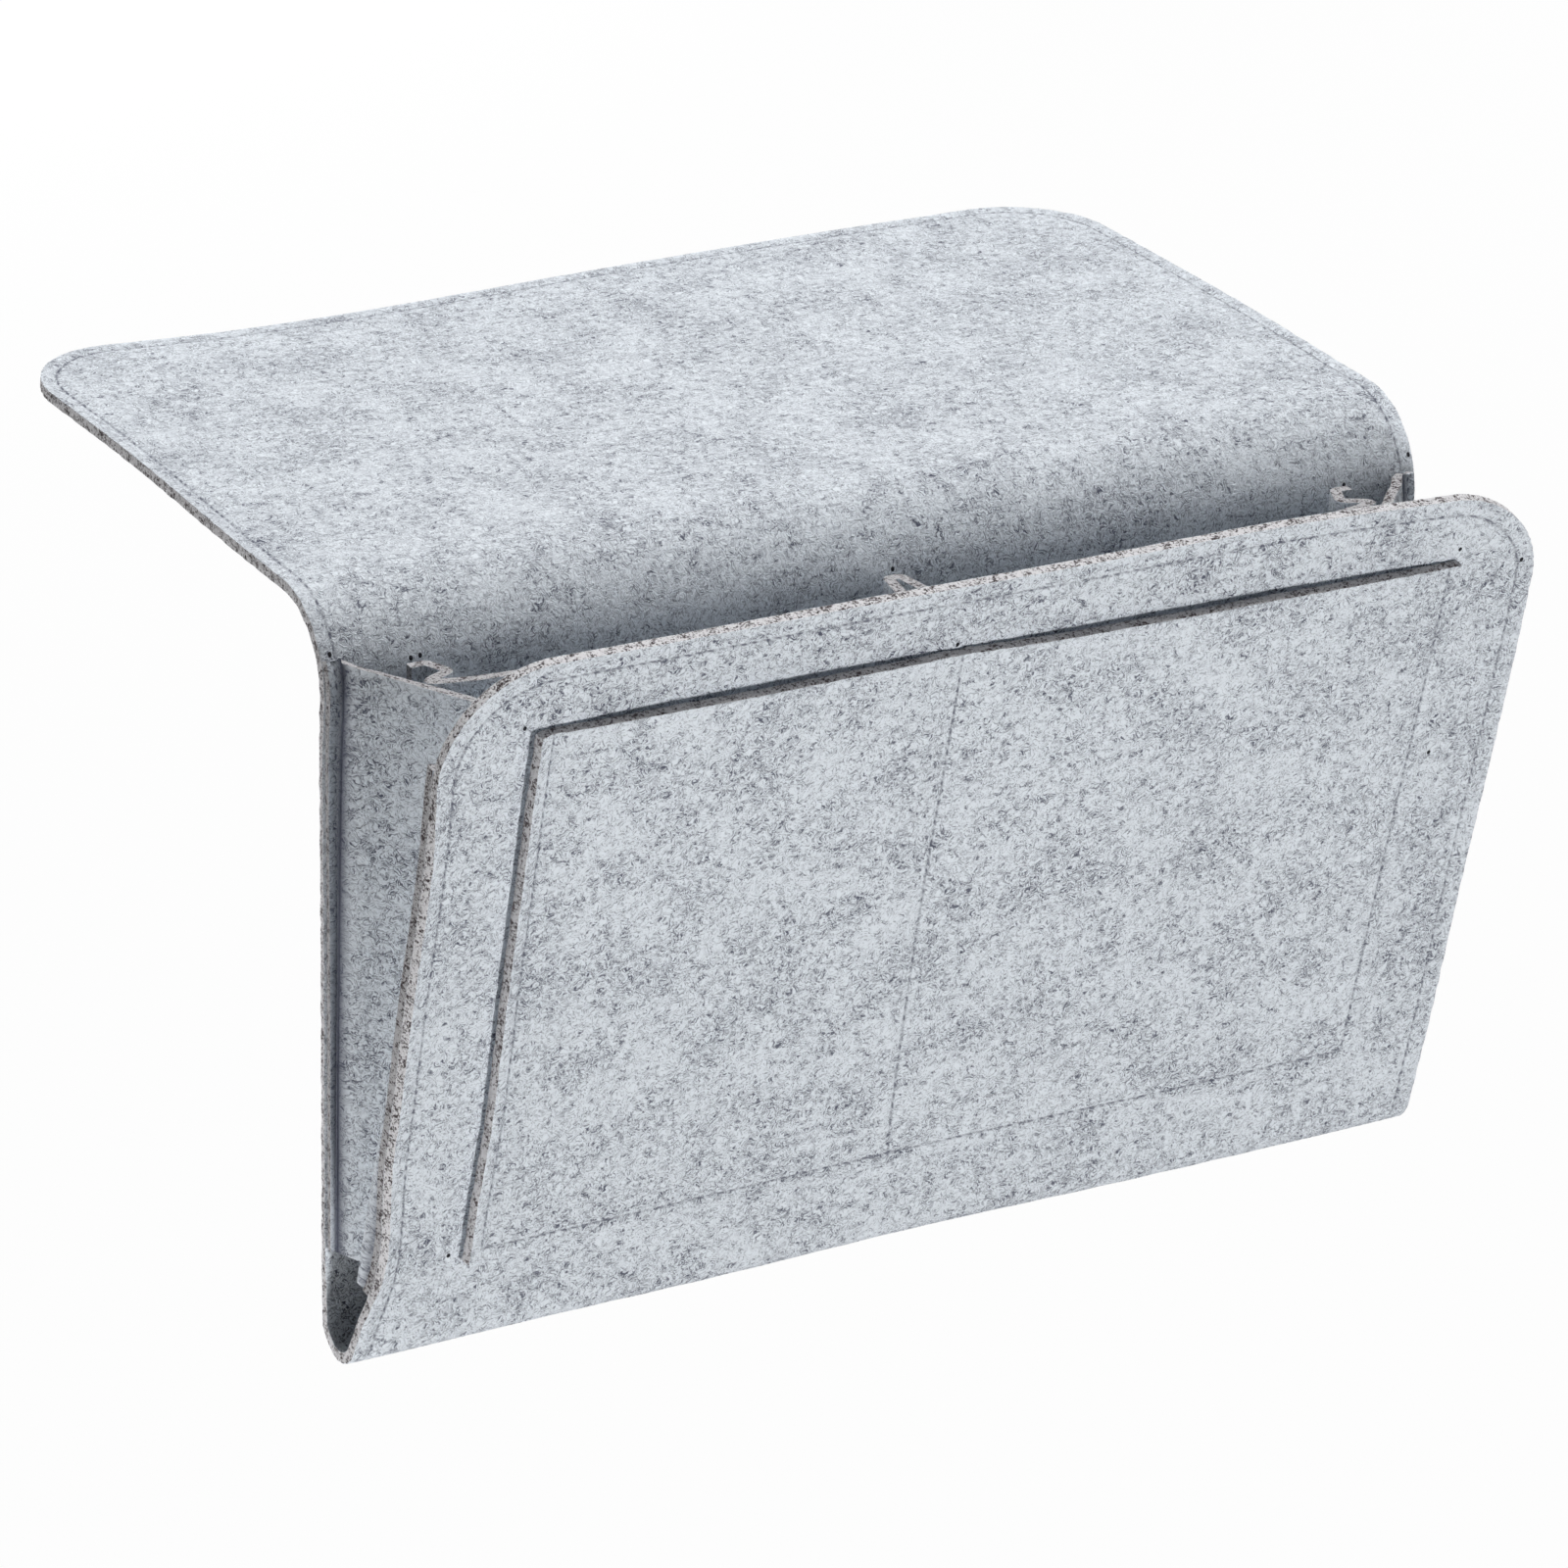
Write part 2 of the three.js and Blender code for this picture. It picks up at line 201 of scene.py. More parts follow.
def front_bow(x, s):
    """How far the front panel stands out of its plane, s up its slope."""
    size = sizes()
    across = np.clip(2 * x / size.width, -1, 1)
    up = np.clip(s / size.front_length, 0, 1)
    return (1.8 * (1 - across**2) * up**2 + 1.2 * np.clip(-across, 0, 1) ** 2 * up) * MM


def border_flare(x, v):
    """The strips sewn to the side borders of back and front push them outward, away from the pocket."""
    _, bend, drop, fold, total = lengths()
    edge = np.clip((np.abs(x) - 151 * MM) / (9 * MM), 0, 1) ** 1.6
    back = smooth((v - bend + 12 * MM) / (30 * MM)) * smooth((drop - v) / (25 * MM))
    front = smooth((v - fold - 8 * MM) / (25 * MM)) * smooth((total - 25 * MM - v) / (30 * MM))
    return -edge * (1.0 * back + np.where(x < 0, 2.2, 0.5) * front) * MM


def spot(across, along, width, length):
    """1 at a place of the cut, fading out over a width and a length in millimetres."""
    return np.exp(-((across / (width * MM)) ** 2) - ((along / (length * MM)) ** 2))


def settled(x, v):
    """Where a point of the cut lies after use, and how far it is raised: corners of flap and front have drawn
    out or slumped a little, and the front's left side is slack and drawn in."""
    size = sizes()
    half = size.width / 2
    fold, total = lengths()[3:]
    left_rear = spot(x + half, v, 45, 45)
    right_rear = spot(x - half, v, 60, 60)
    right_front = spot(x - half, total - v, 60, 34)
    middle_rear = spot(x + 45 * MM, v, 80, 50)
    moved_x = x - 4.2 * MM * left_rear - 2.0 * MM * right_rear - 1.2 * MM * right_front
    s = v - fold
    slack = 2.5 * np.clip((175 * MM - s) / (140 * MM), 0, 1) - 1.4 * smooth((77 * MM - s) / (42 * MM))
    slack = slack * smooth((-x - 40 * MM) / (94 * MM))
    drawn = 0.7 + 2.8 * smooth((68 * MM - s) / (36 * MM)) + 0.9 * smooth((s - 105 * MM) / (45 * MM))
    drawn = drawn * np.clip((-x - 134 * MM) / (26 * MM), 0, 1)
    moved_x = moved_x + smooth((s + 4 * MM) / (28 * MM)) * (slack + drawn) * MM
    moved_v = v - 1.6 * MM * left_rear - 4.4 * MM * right_front + 1.6 * MM * middle_rear
    return moved_x, moved_v, 2.2 * MM * left_rear


def lengths():
    """Where the main sheet's stretches end, along its middle from the flap's rear edge."""
    size = sizes()
    bend = (size.bend_radius + size.felt / 2) * math.pi / 2
    drop = -size.fold_height - size.bend_radius
    fold = (size.fold_radius + size.felt / 2) * (math.pi - size.lean)
    return np.cumsum([size.flap_length, bend, drop, fold, size.front_length])


def sheet_point(x, v, lift=0.0):
    """A point of the main sheet, v along it from the flap's rear edge and lift above its upper face side."""
    size = sizes()
    x, v, lift = np.broadcast_arrays(np.asarray(x, float), np.asarray(v, float), np.asarray(lift, float))
    flap, bend, drop, fold, _ = lengths()
    lift = lift + ripple(x, v) - front_bow(x, np.where(v > fold, v - fold, 0)) + border_flare(x, v)
    x, v, raised = settled(x, v)
    lift = lift + raised
    half = size.felt / 2
    outer = size.bend_radius + half
    inner = size.fold_radius + half
    front_y = BACK_FACE + size.bend_radius
    fold_y = BACK_FACE - size.fold_radius - size.felt
    turn = np.clip((v - flap) / outer, 0, math.pi / 2)
    curl = np.clip((v - drop) / inner, 0, math.pi - size.lean)
    down = np.clip(v - bend, 0, drop - bend)
    up = np.clip(v - fold, 0, None)
    flat = np.maximum(flap - v, 0)
    y = front_y + flat - outer * np.sin(turn)
    z = half - outer * (1 - np.cos(turn)) - down
    y = np.where(v > drop, fold_y + inner * np.cos(curl) - up * math.sin(size.lean), y)
    z = np.where(v > drop, size.fold_height - inner * np.sin(curl) + up * math.cos(size.lean), z)
    normal_y = np.where(v > drop, -np.cos(curl), -np.sin(turn))
    normal_z = np.where(v > drop, np.sin(curl), np.cos(turn))
    return np.stack([x, y + lift * normal_y, z + lift * normal_z], -1)


def front_point(x, s, lift=0.0):
    """A point on the front panel, s up its slope and lift out of its outer face."""
    size = sizes()
    return sheet_point(x, lengths()[3] + np.asarray(s, float), -size.felt / 2 - np.asarray(lift, float))


def back_run(z):
    """How far along the main sheet a height on the back or the bend lies."""
    size = sizes()
    middle = size.bend_radius + size.felt / 2
    flap, bend, _, _, _ = lengths()
    over = np.clip((np.asarray(z, float) + size.bend_radius) / middle, 0, 1)
    return np.where(over > 0, flap + middle * np.arccos(over), bend - size.bend_radius - z)


# ---- Cutting and finishing felt ------------------------------------------------------------------

# A finished sheet: how far its cut edges are rounded, and the angle from which an edge is one; then in
# millimetres how deep and how wide a seam draws the felt in, and the depth of its uneven surface
RIM_ROUND = 0.7 * MM
CUT_ANGLE = 0.9
SEAM_DEPTH = 0.4
SEAM_REACH = 0.9
GRAIN_DEPTH = 0.035
EDGE_WIDTH = 0.3 * MM  # what lies this near a cut edge frays


def start_fresh():
    if bpy.context.object and bpy.context.object.mode != "OBJECT":
        bpy.ops.object.mode_set(mode="OBJECT")
    bpy.ops.object.select_all(action="DESELECT")


def positions(mesh):
    co = np.empty(len(mesh.vertices) * 3)
    mesh.vertices.foreach_get("co", co)
    return co.reshape(-1, 3)


def set_positions(mesh, points):
    mesh.vertices.foreach_set("co", np.ascontiguousarray(points, np.float32).ravel())
    mesh.update()


def lines(*stops):
    """Grid lines through the given stops: (position, spacing up to the next one), ..., last position."""
    out = []
    for (start, step), following in zip(stops[:-1], stops[1:]):
        end = following[0] if isinstance(following, tuple) else following
        count = max(1, round((end - start) / step))
        out.extend(start + (end - start) * i / count for i in range(count))
    out.append(stops[-1])
    return np.array(out)


def cut_grid(name, across, along):
    """A flat cut of felt with grid lines at the given places across and along."""
    start_fresh()
    bpy.ops.mesh.primitive_grid_add(x_subdivisions=len(across) - 1, y_subdivisions=len(along) - 1, size=2)
    piece = bpy.context.object
    piece.name = name
    piece.data.name = name
    co = positions(piece.data)
    column = np.rint((co[:, 0] + 1) / 2 * (len(across) - 1)).astype(int)
    row = np.rint((co[:, 1] + 1) / 2 * (len(along) - 1)).astype(int)
    set_positions(piece.data, np.stack([across[column], along[row], np.zeros(len(co))], 1))
    return piece


def cut_strip(name, columns, rows):
    """A cut that is laid column by column: the piece, each point's column and its share of the height."""
    piece = cut_grid(name, np.arange(columns, dtype=float), np.arange(rows, dtype=float))
    co = positions(piece.data)
    return piece, np.rint(co[:, 0]).astype(int), co[:, 1] / (rows - 1)


def turn_over(piece):
    """Turns the faces of a sheet round, so that its outer side is the one that shows."""
    bpy.ops.object.mode_set(mode="EDIT")
    bpy.ops.mesh.select_all(action="SELECT")
    bpy.ops.mesh.flip_normals()
    bpy.ops.object.mode_set(mode="OBJECT")


def round_corners(piece, half_width, end, radius, steps=14):
    """Trims both corners at the end of a flat cut to a radius."""
    way = 1 if end > positions(piece.data)[:, 1].mean() else -1
    bpy.ops.object.mode_set(mode="EDIT")
    for side in (-1, 1):
        centre = Vector((side * (half_width - radius), end - way * radius, 0))
        for i in range(steps):
            angle = math.pi / 2 * (i + 0.5) / steps
            out = Vector((side * math.cos(angle), way * math.sin(angle), 0))
            bpy.ops.mesh.select_all(action="SELECT")
            bpy.ops.mesh.bisect(plane_co=centre + out * radius, plane_no=out, clear_outer=True)
    bpy.ops.object.mode_set(mode="OBJECT")


def map_cut(piece, offset):
    """Keeps the flat cut as the UV map, shifted so that no two pieces show the same patch of felt."""
    mesh = piece.data
    for layer in list(mesh.uv_layers):
        mesh.uv_layers.remove(layer)
    layer = mesh.uv_layers.new(name="cut")
    corner = np.empty(len(mesh.loops), int)
    mesh.loops.foreach_get("vertex_index", corner)
    uv = positions(mesh)[corner, :2] + np.array(offset)
    layer.data.foreach_set("uv", uv.astype(np.float32).ravel())


def note(piece, name, values):
    """Keeps one number for each point, in millimetres, for the material and the finish."""
    attribute = piece.data.attributes.new(name, "FLOAT", "POINT")
    values = np.broadcast_to(np.asarray(values) / MM, len(piece.data.vertices))
    attribute.data.foreach_set("value", values.astype(np.float32))


def noted(piece, name):
    values = np.empty(len(piece.data.vertices), np.float32)
    piece.data.attributes[name].data.foreach_get("value", values)
    return values.astype(float)


def note_edges(piece, edge_seam, rim, mid_seam=FAR):
    """Keeps how far each point of a sheet lies from its seams and inside its cut edge."""
    for name, values in (("edge_seam", edge_seam), ("mid_seam", mid_seam), ("rim", rim)):
        note(piece, name, values)


def corner_inset(x, along, half_width, end, radius):
    """Distance inside a panel's sides and its end with rounded corners; along grows towards the end."""
    dx = np.abs(x) - (half_width - radius)
    dy = along - (end - radius)
    outside = np.hypot(np.maximum(dx, 0), np.maximum(dy, 0)) + np.minimum(np.maximum(dx, dy), 0)
    return radius - outside


def fray(x, y):
    """Small unevenness of a cut edge."""
    return 0.07 * MM * (np.sin(2100 * x + 700 * y) + np.sin(900 * x - 1700 * y + 1.9))


def apply_modifier(piece, kind, name, **settings):
    start_fresh()
    piece.select_set(True)
    bpy.context.view_layer.objects.active = piece
    modifier = piece.modifiers.new(name, kind)
    for key, value in settings.items():
        setattr(modifier, key, value)
    bpy.ops.object.modifier_apply(modifier=name)


def thicken(piece, thickness, plain_end=None, rim_slot=0):
    """Gives a sheet its thickness, softens its cut edges and draws its seams in.
    plain_end says which points belong to an end that meets the next sheet, and stays sharp.
    rim_slot is the material slot of the rounded rim: the face's, or -1 where the cut shows over its whole width."""
    if plain_end is not None:
        note(piece, "plain_end", np.where(plain_end, MM, 0))
    apply_modifier(
        piece, "SOLIDIFY", "thickness", thickness=thickness, offset=0,
        use_even_offset=True, use_quality_normals=True, material_offset_rim=1,
    )
    plain = noted(piece, "plain_end") > 0.5 if plain_end is not None else None
    bpy.ops.object.mode_set(mode="EDIT")
    bpy.ops.mesh.select_mode(type="EDGE")
    bpy.ops.mesh.select_all(action="DESELECT")
    shape = bmesh.from_edit_mesh(piece.data)
    for edge in shape.edges:
        ends = [vertex.index for vertex in edge.verts]
        joined = plain is not None and plain[ends[0]] and plain[ends[1]]
        if len(edge.link_faces) == 2 and edge.calc_face_angle() > CUT_ANGLE and not joined:
            edge.select = True
    bmesh.update_edit_mesh(piece.data)
    bpy.ops.mesh.bevel(
        affect="EDGES", offset=RIM_ROUND, segments=2, profile=0.6, clamp_overlap=True, material=rim_slot,
    )
    bpy.ops.object.mode_set(mode="OBJECT")
    mesh = piece.data
    normal = np.empty(len(mesh.vertices) * 3)
    mesh.vertices.foreach_get("normal", normal)
    normal = normal.reshape(-1, 3)
    seam = np.minimum(np.abs(noted(piece, "edge_seam")), np.abs(noted(piece, "mid_seam")))
    pull = np.exp(-((seam / SEAM_REACH) ** 2))
    co = positions(mesh)
    grain = np.sin(co @ np.array([5100.0, 2300.0, 3700.0])) + np.sin(co @ np.array([-1900.0, 4700.0, 2900.0]))
    thinner = noted(piece, "lap") if "lap" in mesh.attributes else 0
    drawn_in = SEAM_DEPTH * pull + GRAIN_DEPTH * grain + thinner
    set_positions(mesh, co - normal * (drawn_in * MM)[:, None])
    bpy.ops.object.shade_smooth_by_angle(angle=math.radians(50))


def dress(piece, *materials):
    piece.data.materials.clear()
    for material in materials:
        piece.data.materials.append(bpy.data.materials[material])


def make_felt(piece, cut, thickness, **settings):
    """Makes a folded sheet of felt, with the given material on its cut edges."""
    dress(piece, "wool_felt", cut)
    thicken(piece, thickness, **settings)


# ---- Stitches ------------------------------------------------------------------------------------

STITCH_HALF = 0.46  # half a stitch, as a share of the length from one to the next
STITCH_SUNK = 0.12  # in millimetres
STITCH_SLANT = (0.994, 0.11)  # along the seam and across it


def stitch_shape():
    """One stitch: a short slack thread, thick in the middle and sunk at both ends."""
    size = sizes()
    start_fresh()
    bpy.ops.mesh.primitive_uv_sphere_add(segments=7, ring_count=6, radius=1)
    shape = bpy.context.object
    bpy.ops.object.mode_set(mode="EDIT")
    bpy.ops.mesh.select_all(action="SELECT")
    bpy.ops.transform.resize(value=(size.thread / 2, size.thread / 2, size.stitch * STITCH_HALF))
    bpy.ops.object.mode_set(mode="OBJECT")
    mesh = shape.data
    co = positions(mesh)
    run = co[:, 2] / (size.stitch * STITCH_HALF)
    width = np.hypot(co[:, 0], co[:, 1])
    blunt = size.thread / 2 * np.sqrt(1 - 0.8 * run**2)
    full = np.where(width > 0, np.minimum(1.3, blunt / np.maximum(width, 1e-9)), 1)
    points = np.stack([co[:, 2], co[:, 0] * full, co[:, 1] * full - 0.35 * size.thread * run**2], 1)
    faces = [list(polygon.vertices) for polygon in mesh.polygons]
    uv = np.empty(len(mesh.loops) * 2)
    mesh.uv_layers.active.data.foreach_get("uv", uv)
    bpy.data.objects.remove(shape)
    return points, faces, uv.reshape(-1, 2)


def walk(points, pitch):
    """Stitch ends along a run of flat points, a pitch apart."""
    points = np.asarray(points, float)
    far = np.concatenate([[0], np.cumsum(np.linalg.norm(np.diff(points, axis=0), axis=1))])
    count = max(1, round(far[-1] / pitch))
    at = np.linspace(0, far[-1], count + 1)
    return np.stack([np.interp(at, far, points[:, k]) for k in (0, 1)], 1)


def sew(name, seams):
    """Stitches along seams, each a run of flat points and the place of a point at a lift."""
    size = sizes()
    shape, faces, uv = stitch_shape()
    all_points, all_faces, count = [], [], 0
    for run, place in seams:
        ends = walk(run, size.stitch)
        low = place(ends[:, 0], ends[:, 1], 0.0)
        high = place(ends[:, 0], ends[:, 1], MM)
        for i in range(len(ends) - 1):
            middle = (low[i] + low[i + 1]) / 2
            ahead = low[i + 1] - low[i]
            ahead /= np.linalg.norm(ahead)
            out = high[i] + high[i + 1] - low[i] - low[i + 1]
            out -= ahead * (out @ ahead)
            out /= np.linalg.norm(out)
            aside = np.cross(out, ahead)
            slant = ahead * STITCH_SLANT[0] + aside * STITCH_SLANT[1]
            across = np.cross(out, slant)
            basis = np.stack([slant, across, out])
            all_points.append(shape @ basis + middle - out * STITCH_SUNK * MM)
            all_faces.extend([[k + count for k in face] for face in faces])
            count += len(shape)
    mesh = bpy.data.meshes.new(name)
    mesh.from_pydata(np.concatenate(all_points).tolist(), [], all_faces)
    mesh.polygons.foreach_set("use_smooth", np.ones(len(mesh.polygons), bool))
    layer = mesh.uv_layers.new(name="twist")
    layer.data.foreach_set("uv", np.tile(uv, (len(mesh.loops) // len(uv), 1)).astype(np.float32).ravel())
    thread = bpy.data.objects.new(name, mesh)
    bpy.context.scene.collection.objects.link(thread)
    dress(thread, "sewing_thread")
    return thread


def rounded_run(half_width, low, high, radius, steps=12):
    """A seam up one side, round two corners and down the other side, in flat points."""
    run = [(-half_width, low)]
    for side, first in ((-1, math.pi), (1, math.pi / 2)):
        centre = (side * (half_width - radius), high - radius)
        for i in range(steps + 1):
            angle = first - math.pi / 2 * i / steps
            run.append((centre[0] + radius * math.cos(angle), centre[1] + radius * math.sin(angle)))
    run.append((half_width, low))
    return np.array(run)


# ---- Materials -----------------------------------------------------------------------------------


class Graph:
    """Adds nodes to a tree and links what they are given."""

    def __init__(self, tree):
        self.tree = tree
        tree.nodes.clear()

    def feed(self, socket, value):
        if isinstance(value, bpy.types.NodeSocket):
            self.tree.links.new(value, socket)
        elif value is not None:
            socket.default_value = value

    def add(self, kind, inputs=None, **settings):
        node = self.tree.nodes.new("ShaderNode" + kind)
        for key, value in settings.items():
            setattr(node, key, value)
        for key, value in (inputs or {}).items():
            self.feed(node.inputs[key], value)
        return node

    def math(self, operation, *values, clamp=False):
        node = self.add("Math", dict(enumerate(values)), operation=operation, use_clamp=clamp)
        return node.outputs[0]

    def ramp(self, value, start, end, low=0.0, high=1.0):
        node = self.add(
            "MapRange", {0: value, 1: start, 2: end, 3: low, 4: high}, interpolation_type="SMOOTHSTEP",
        )
        return node.outputs[0]

    def noise(self, vector, scale, detail=2.0, roughness=0.5, dimensions="2D"):
        node = self.add(
            "TexNoise",
            {"Vector": vector, "Scale": scale, "Detail": detail, "Roughness": roughness},
            noise_dimensions=dimensions,
        )
        return node

    def turned(self, vector, angle, size, offset):
        node = self.add(
            "Mapping",
            {"Vector": vector, "Location": offset, "Rotation": (0, 0, angle), "Scale": size},
            vector_type="TEXTURE",
        )
        return node.outputs[0]

    def blend(self, share, first, second, mode="MIX"):
        node = self.add("Mix", {0: share, 6: first, 7: second}, data_type="RGBA", blend_type=mode)
        return node.outputs[2]

    def weigh(self, *pairs):
        """The sum of values times weights."""
        total = None
        for value, weight in pairs:
            part = self.math("MULTIPLY", value, weight)
            total = part if total is None else self.math("ADD", total, part)
        return total


def node_group(name, inputs, outputs):
    tree = bpy.data.node_groups.new(name, "ShaderNodeTree")
    graph = Graph(tree)
    for label, kind, value in inputs:
        socket = tree.interface.new_socket(name=label, in_out="INPUT", socket_type="NodeSocket" + kind)
        if value is not None:
            socket.default_value = value
    for label, kind in outputs:
        tree.interface.new_socket(name=label, in_out="OUTPUT", socket_type="NodeSocket" + kind)
    source = tree.nodes.new("NodeGroupInput")
    sink = tree.nodes.new("NodeGroupOutput")
    return graph, source.outputs, sink.inputs


# Layers of fibres: direction in degrees, cell length and width in mm, share of cells that hold one
LONG_FIBRES = (
    (2, 15.0, 0.66, 0.42), (-19, 12.0, 0.70, 0.34), (28, 11.0, 0.72, 0.30),
    (81, 10.0, 0.72, 0.24), (128, 11.0, 0.72, 0.28),
)
SHORT_FIBRES = (
    (11, 3.6, 0.56, 0.62), (56, 3.2, 0.58, 0.58), (101, 3.3, 0.56, 0.58), (147, 3.5, 0.58, 0.60),
)
PALE_FIBRES = ((30, 3.2, 0.56, 0.60), (78, 3.0, 0.58, 0.55), (165, 3.6, 0.56, 0.60))


def fibre_group():
    """Felted wool: pale and dark fibres, grain, flecks and clouds, on coordinates in millimetres."""
    graph, given, result = node_group(
        "felted_wool",
        [("Vector", "Vector", None), ("Streak", "Float", 0.3), ("Contrast", "Float", 1.0)],
        [("Shade", "Float"), ("Height", "Float")],
    )
    flat = given["Vector"]
    curl = graph.noise(flat, 0.30, 2.0, 0.5).outputs[1]
    curled = graph.add(
        "VectorMath", {0: curl, 1: (4.5, 4.5, 0), 2: flat}, operation="MULTIPLY_ADD",
    ).outputs[0]

    def strokes(layers, seed, core, rim):
        """Fibres in layers: dark to the core of a cell's line and gone at its rim."""
        total = None
        for i, (direction, length, width, share) in enumerate(layers):
            place = (3.7 * i + seed, 5.3 * i - seed, 0)
            vector = graph.turned(curled, math.radians(direction), (length, width, 1), place)
            cells = graph.add(
                "TexVoronoi", {"Vector": vector, "Scale": 1.0, "Randomness": 1.0}, voronoi_dimensions="2D",
            )
            parts = graph.add("SeparateColor", {0: cells.outputs["Color"]}).outputs
            line = graph.ramp(cells.outputs["Distance"], core, rim, 1.0, 0.0)
            held = graph.math("GREATER_THAN", parts[0], 1 - share)
            strength = graph.math("MULTIPLY_ADD", parts[1], 0.75, 0.25)
            line = graph.math("MULTIPLY", graph.math("MULTIPLY", line, held), strength)
            total = line if total is None else graph.math("MAXIMUM", total, line)
        return total

    hair = strokes(LONG_FIBRES, 1.0, 0.05, 0.25)
    dark = strokes(SHORT_FIBRES, 11.0, 0.08, 0.36)
    pale = strokes(PALE_FIBRES, 19.0, 0.08, 0.38)
    grain = graph.noise(curled, 1.6, 1.0, 0.6).outputs[0]
    fleck = graph.noise(flat, 0.34, 2.5, 0.6).outputs[0]
    cloud = graph.noise(flat, 0.05, 2.0, 0.5).outputs[0]
    drawn = graph.turned(flat, 0.05, (8.0, 0.6, 1), (2.0, 7.0, 0))
    streak = graph.noise(drawn, 1.0, 2.0, 0.6).outputs[0]
    streak = graph.math("MULTIPLY", graph.math("SUBTRACT", streak, 0.5), given["Streak"])
    thick = graph.ramp(graph.weigh((fleck, 0.65), (cloud, 0.35)), 0.60, 0.40, 0.35, 1.35)
    drawn_out = graph.math("MULTIPLY_ADD", given["Streak"], 1.25, 0.35)
    hair = graph.math("MULTIPLY", graph.math("MULTIPLY", hair, thick), drawn_out)
    dark = graph.math("MULTIPLY", dark, thick)
    shade = graph.weigh(
        (grain, 1.30), (fleck, 0.36), (cloud, 0.24), (streak, 0.8), (hair, -0.55), (dark, -0.46), (pale, 0.22),
    )
    shade = graph.math("MULTIPLY", graph.math("ADD", shade, -0.78), given["Contrast"])
    shade = graph.math("ADD", shade, 0.592, clamp=True)
    height = graph.weigh((grain, 1.0), (dark, -0.5), (hair, 0.3), (pale, 0.7))
    graph.feed(result["Shade"], shade)
    graph.feed(result["Height"], height)
    return graph.tree


def groove_group():
    """Painted shade in the drawn-in groove along a seam and along a pleat's fold, and a painted highlight on the
    rim beside a cut edge, from the points' own numbers.
    """
    graph, given, result = node_group(
        "sewn_edges",
        [("Vector", "Vector", None), ("Width", "Float", 0.7)],
        [("Groove", "Float"), ("Rim_highlight", "Float")],
    )

    def own(name):
        return graph.add("Attribute", attribute_name=name, attribute_type="GEOMETRY").outputs["Fac"]

    grooves = []
    for name in ("edge_seam", "mid_seam"):
        away = graph.math("ABSOLUTE", own(name))
        grooves.append(graph.ramp(away, 0.0, given["Width"], 1.0, 0.0))
    rim = own("rim")
    # The painted shade along a pleat's fold, kept on its points
    crease_shade = own("crease_shade")
    uneven = graph.ramp(graph.noise(given["Vector"], 0.33, 2.0, 0.6).outputs[0], 0.36, 0.62, 0.45, 1.0)
    place = graph.add("SeparateXYZ", {0: given["Vector"]}).outputs
    pitch = graph.math("FRACT", graph.math("DIVIDE", graph.math("ADD", place[0], place[1]), sizes().stitch / MM))
    hole = graph.ramp(graph.math("ABSOLUTE", graph.math("SUBTRACT", pitch, 0.5)), 0.16, 0.34, 0.4, 1.0)
    groove = graph.math("MULTIPLY", graph.math("MULTIPLY", graph.math("MAXIMUM", *grooves), uneven), hole)
    # The darker of the painted shade in a seam's groove, dashed at the stitches, and the painted shade along a
    # pleat's fold
    graph.feed(result["Groove"], graph.math("MAXIMUM", groove, crease_shade))
    # A painted highlight, strongest at a cut edge and gone about 2 mm inside it
    graph.feed(result["Rim_highlight"], graph.ramp(rim, 0.4, 2.2, 1.0, 0.0))
    return graph.tree


def new_material(name, roughness, specular):
    material = bpy.data.materials.new(name)
    material.use_nodes = True
    graph = Graph(material.node_tree)
    shader = graph.add("BsdfPrincipled")
    output = graph.add("OutputMaterial")
    graph.tree.links.new(shader.outputs[0], output.inputs[0])
    shader.inputs["Roughness"].default_value = roughness
    shader.inputs["Specular IOR Level"].default_value = specular
    return graph, shader


def cover(graph, shader, base, height, strength, depth):
    """Gives a material its colour and a fine relief, whose depth is in millimetres."""
    bump = graph.add("Bump", {"Strength": strength, "Distance": depth * MM, "Height": height})
    graph.feed(shader.inputs["Base Color"], base)
    graph.feed(shader.inputs["Normal"], bump.outputs[0])


def felt_material(wool, edges):
    """The felt's face. Its flap, low along the cut, is drawn out into streaks and has less contrast."""
    graph, shader = new_material("wool_felt", 0.95, 0.12)
    tone = colours()
    uv = graph.add("UVMap", uv_map="cut").outputs[0]
    flat = graph.add("VectorMath", {0: uv, 1: (1000, 1000, 1000)}, operation="MULTIPLY").outputs[0]
    along = graph.add("SeparateXYZ", {0: uv}).outputs[1]
    streak = graph.ramp(along, 0.17, 0.27, 0.55, 0.12)
    contrast = graph.ramp(along, 0.15, 0.27, 0.96, 1.5)
    fibres = graph.add("Group", {"Vector": flat, "Streak": streak, "Contrast": contrast}, node_tree=wool)
    sewn = graph.add("Group", {"Vector": flat}, node_tree=edges)
    base = graph.blend(fibres.outputs["Shade"], (*tone.felt_dark, 1), (*tone.felt_light, 1))
    # Painted highlight: the face lightens towards the felt's light colour near a cut edge
    painted_highlight = graph.math("MULTIPLY", sewn.outputs["Rim_highlight"], 0.22)
    base = graph.blend(painted_highlight, base, (*tone.felt_light, 1))
    # Painted shade: seams' grooves and pleats' folds darken towards the felt's dark colour
    shut = graph.math("MULTIPLY", sewn.outputs["Groove"], 0.95)
    base = graph.blend(shut, base, (*tone.felt_dark, 1))
    height = graph.math("SUBTRACT", fibres.outputs["Height"], graph.math("MULTIPLY", sewn.outputs["Groove"], 0.5))
    cover(graph, shader, base, height, 0.5, 0.35)
    shader.inputs["Sheen Weight"].default_value = 0.06
    shader.inputs["Sheen Roughness"].default_value = 0.6


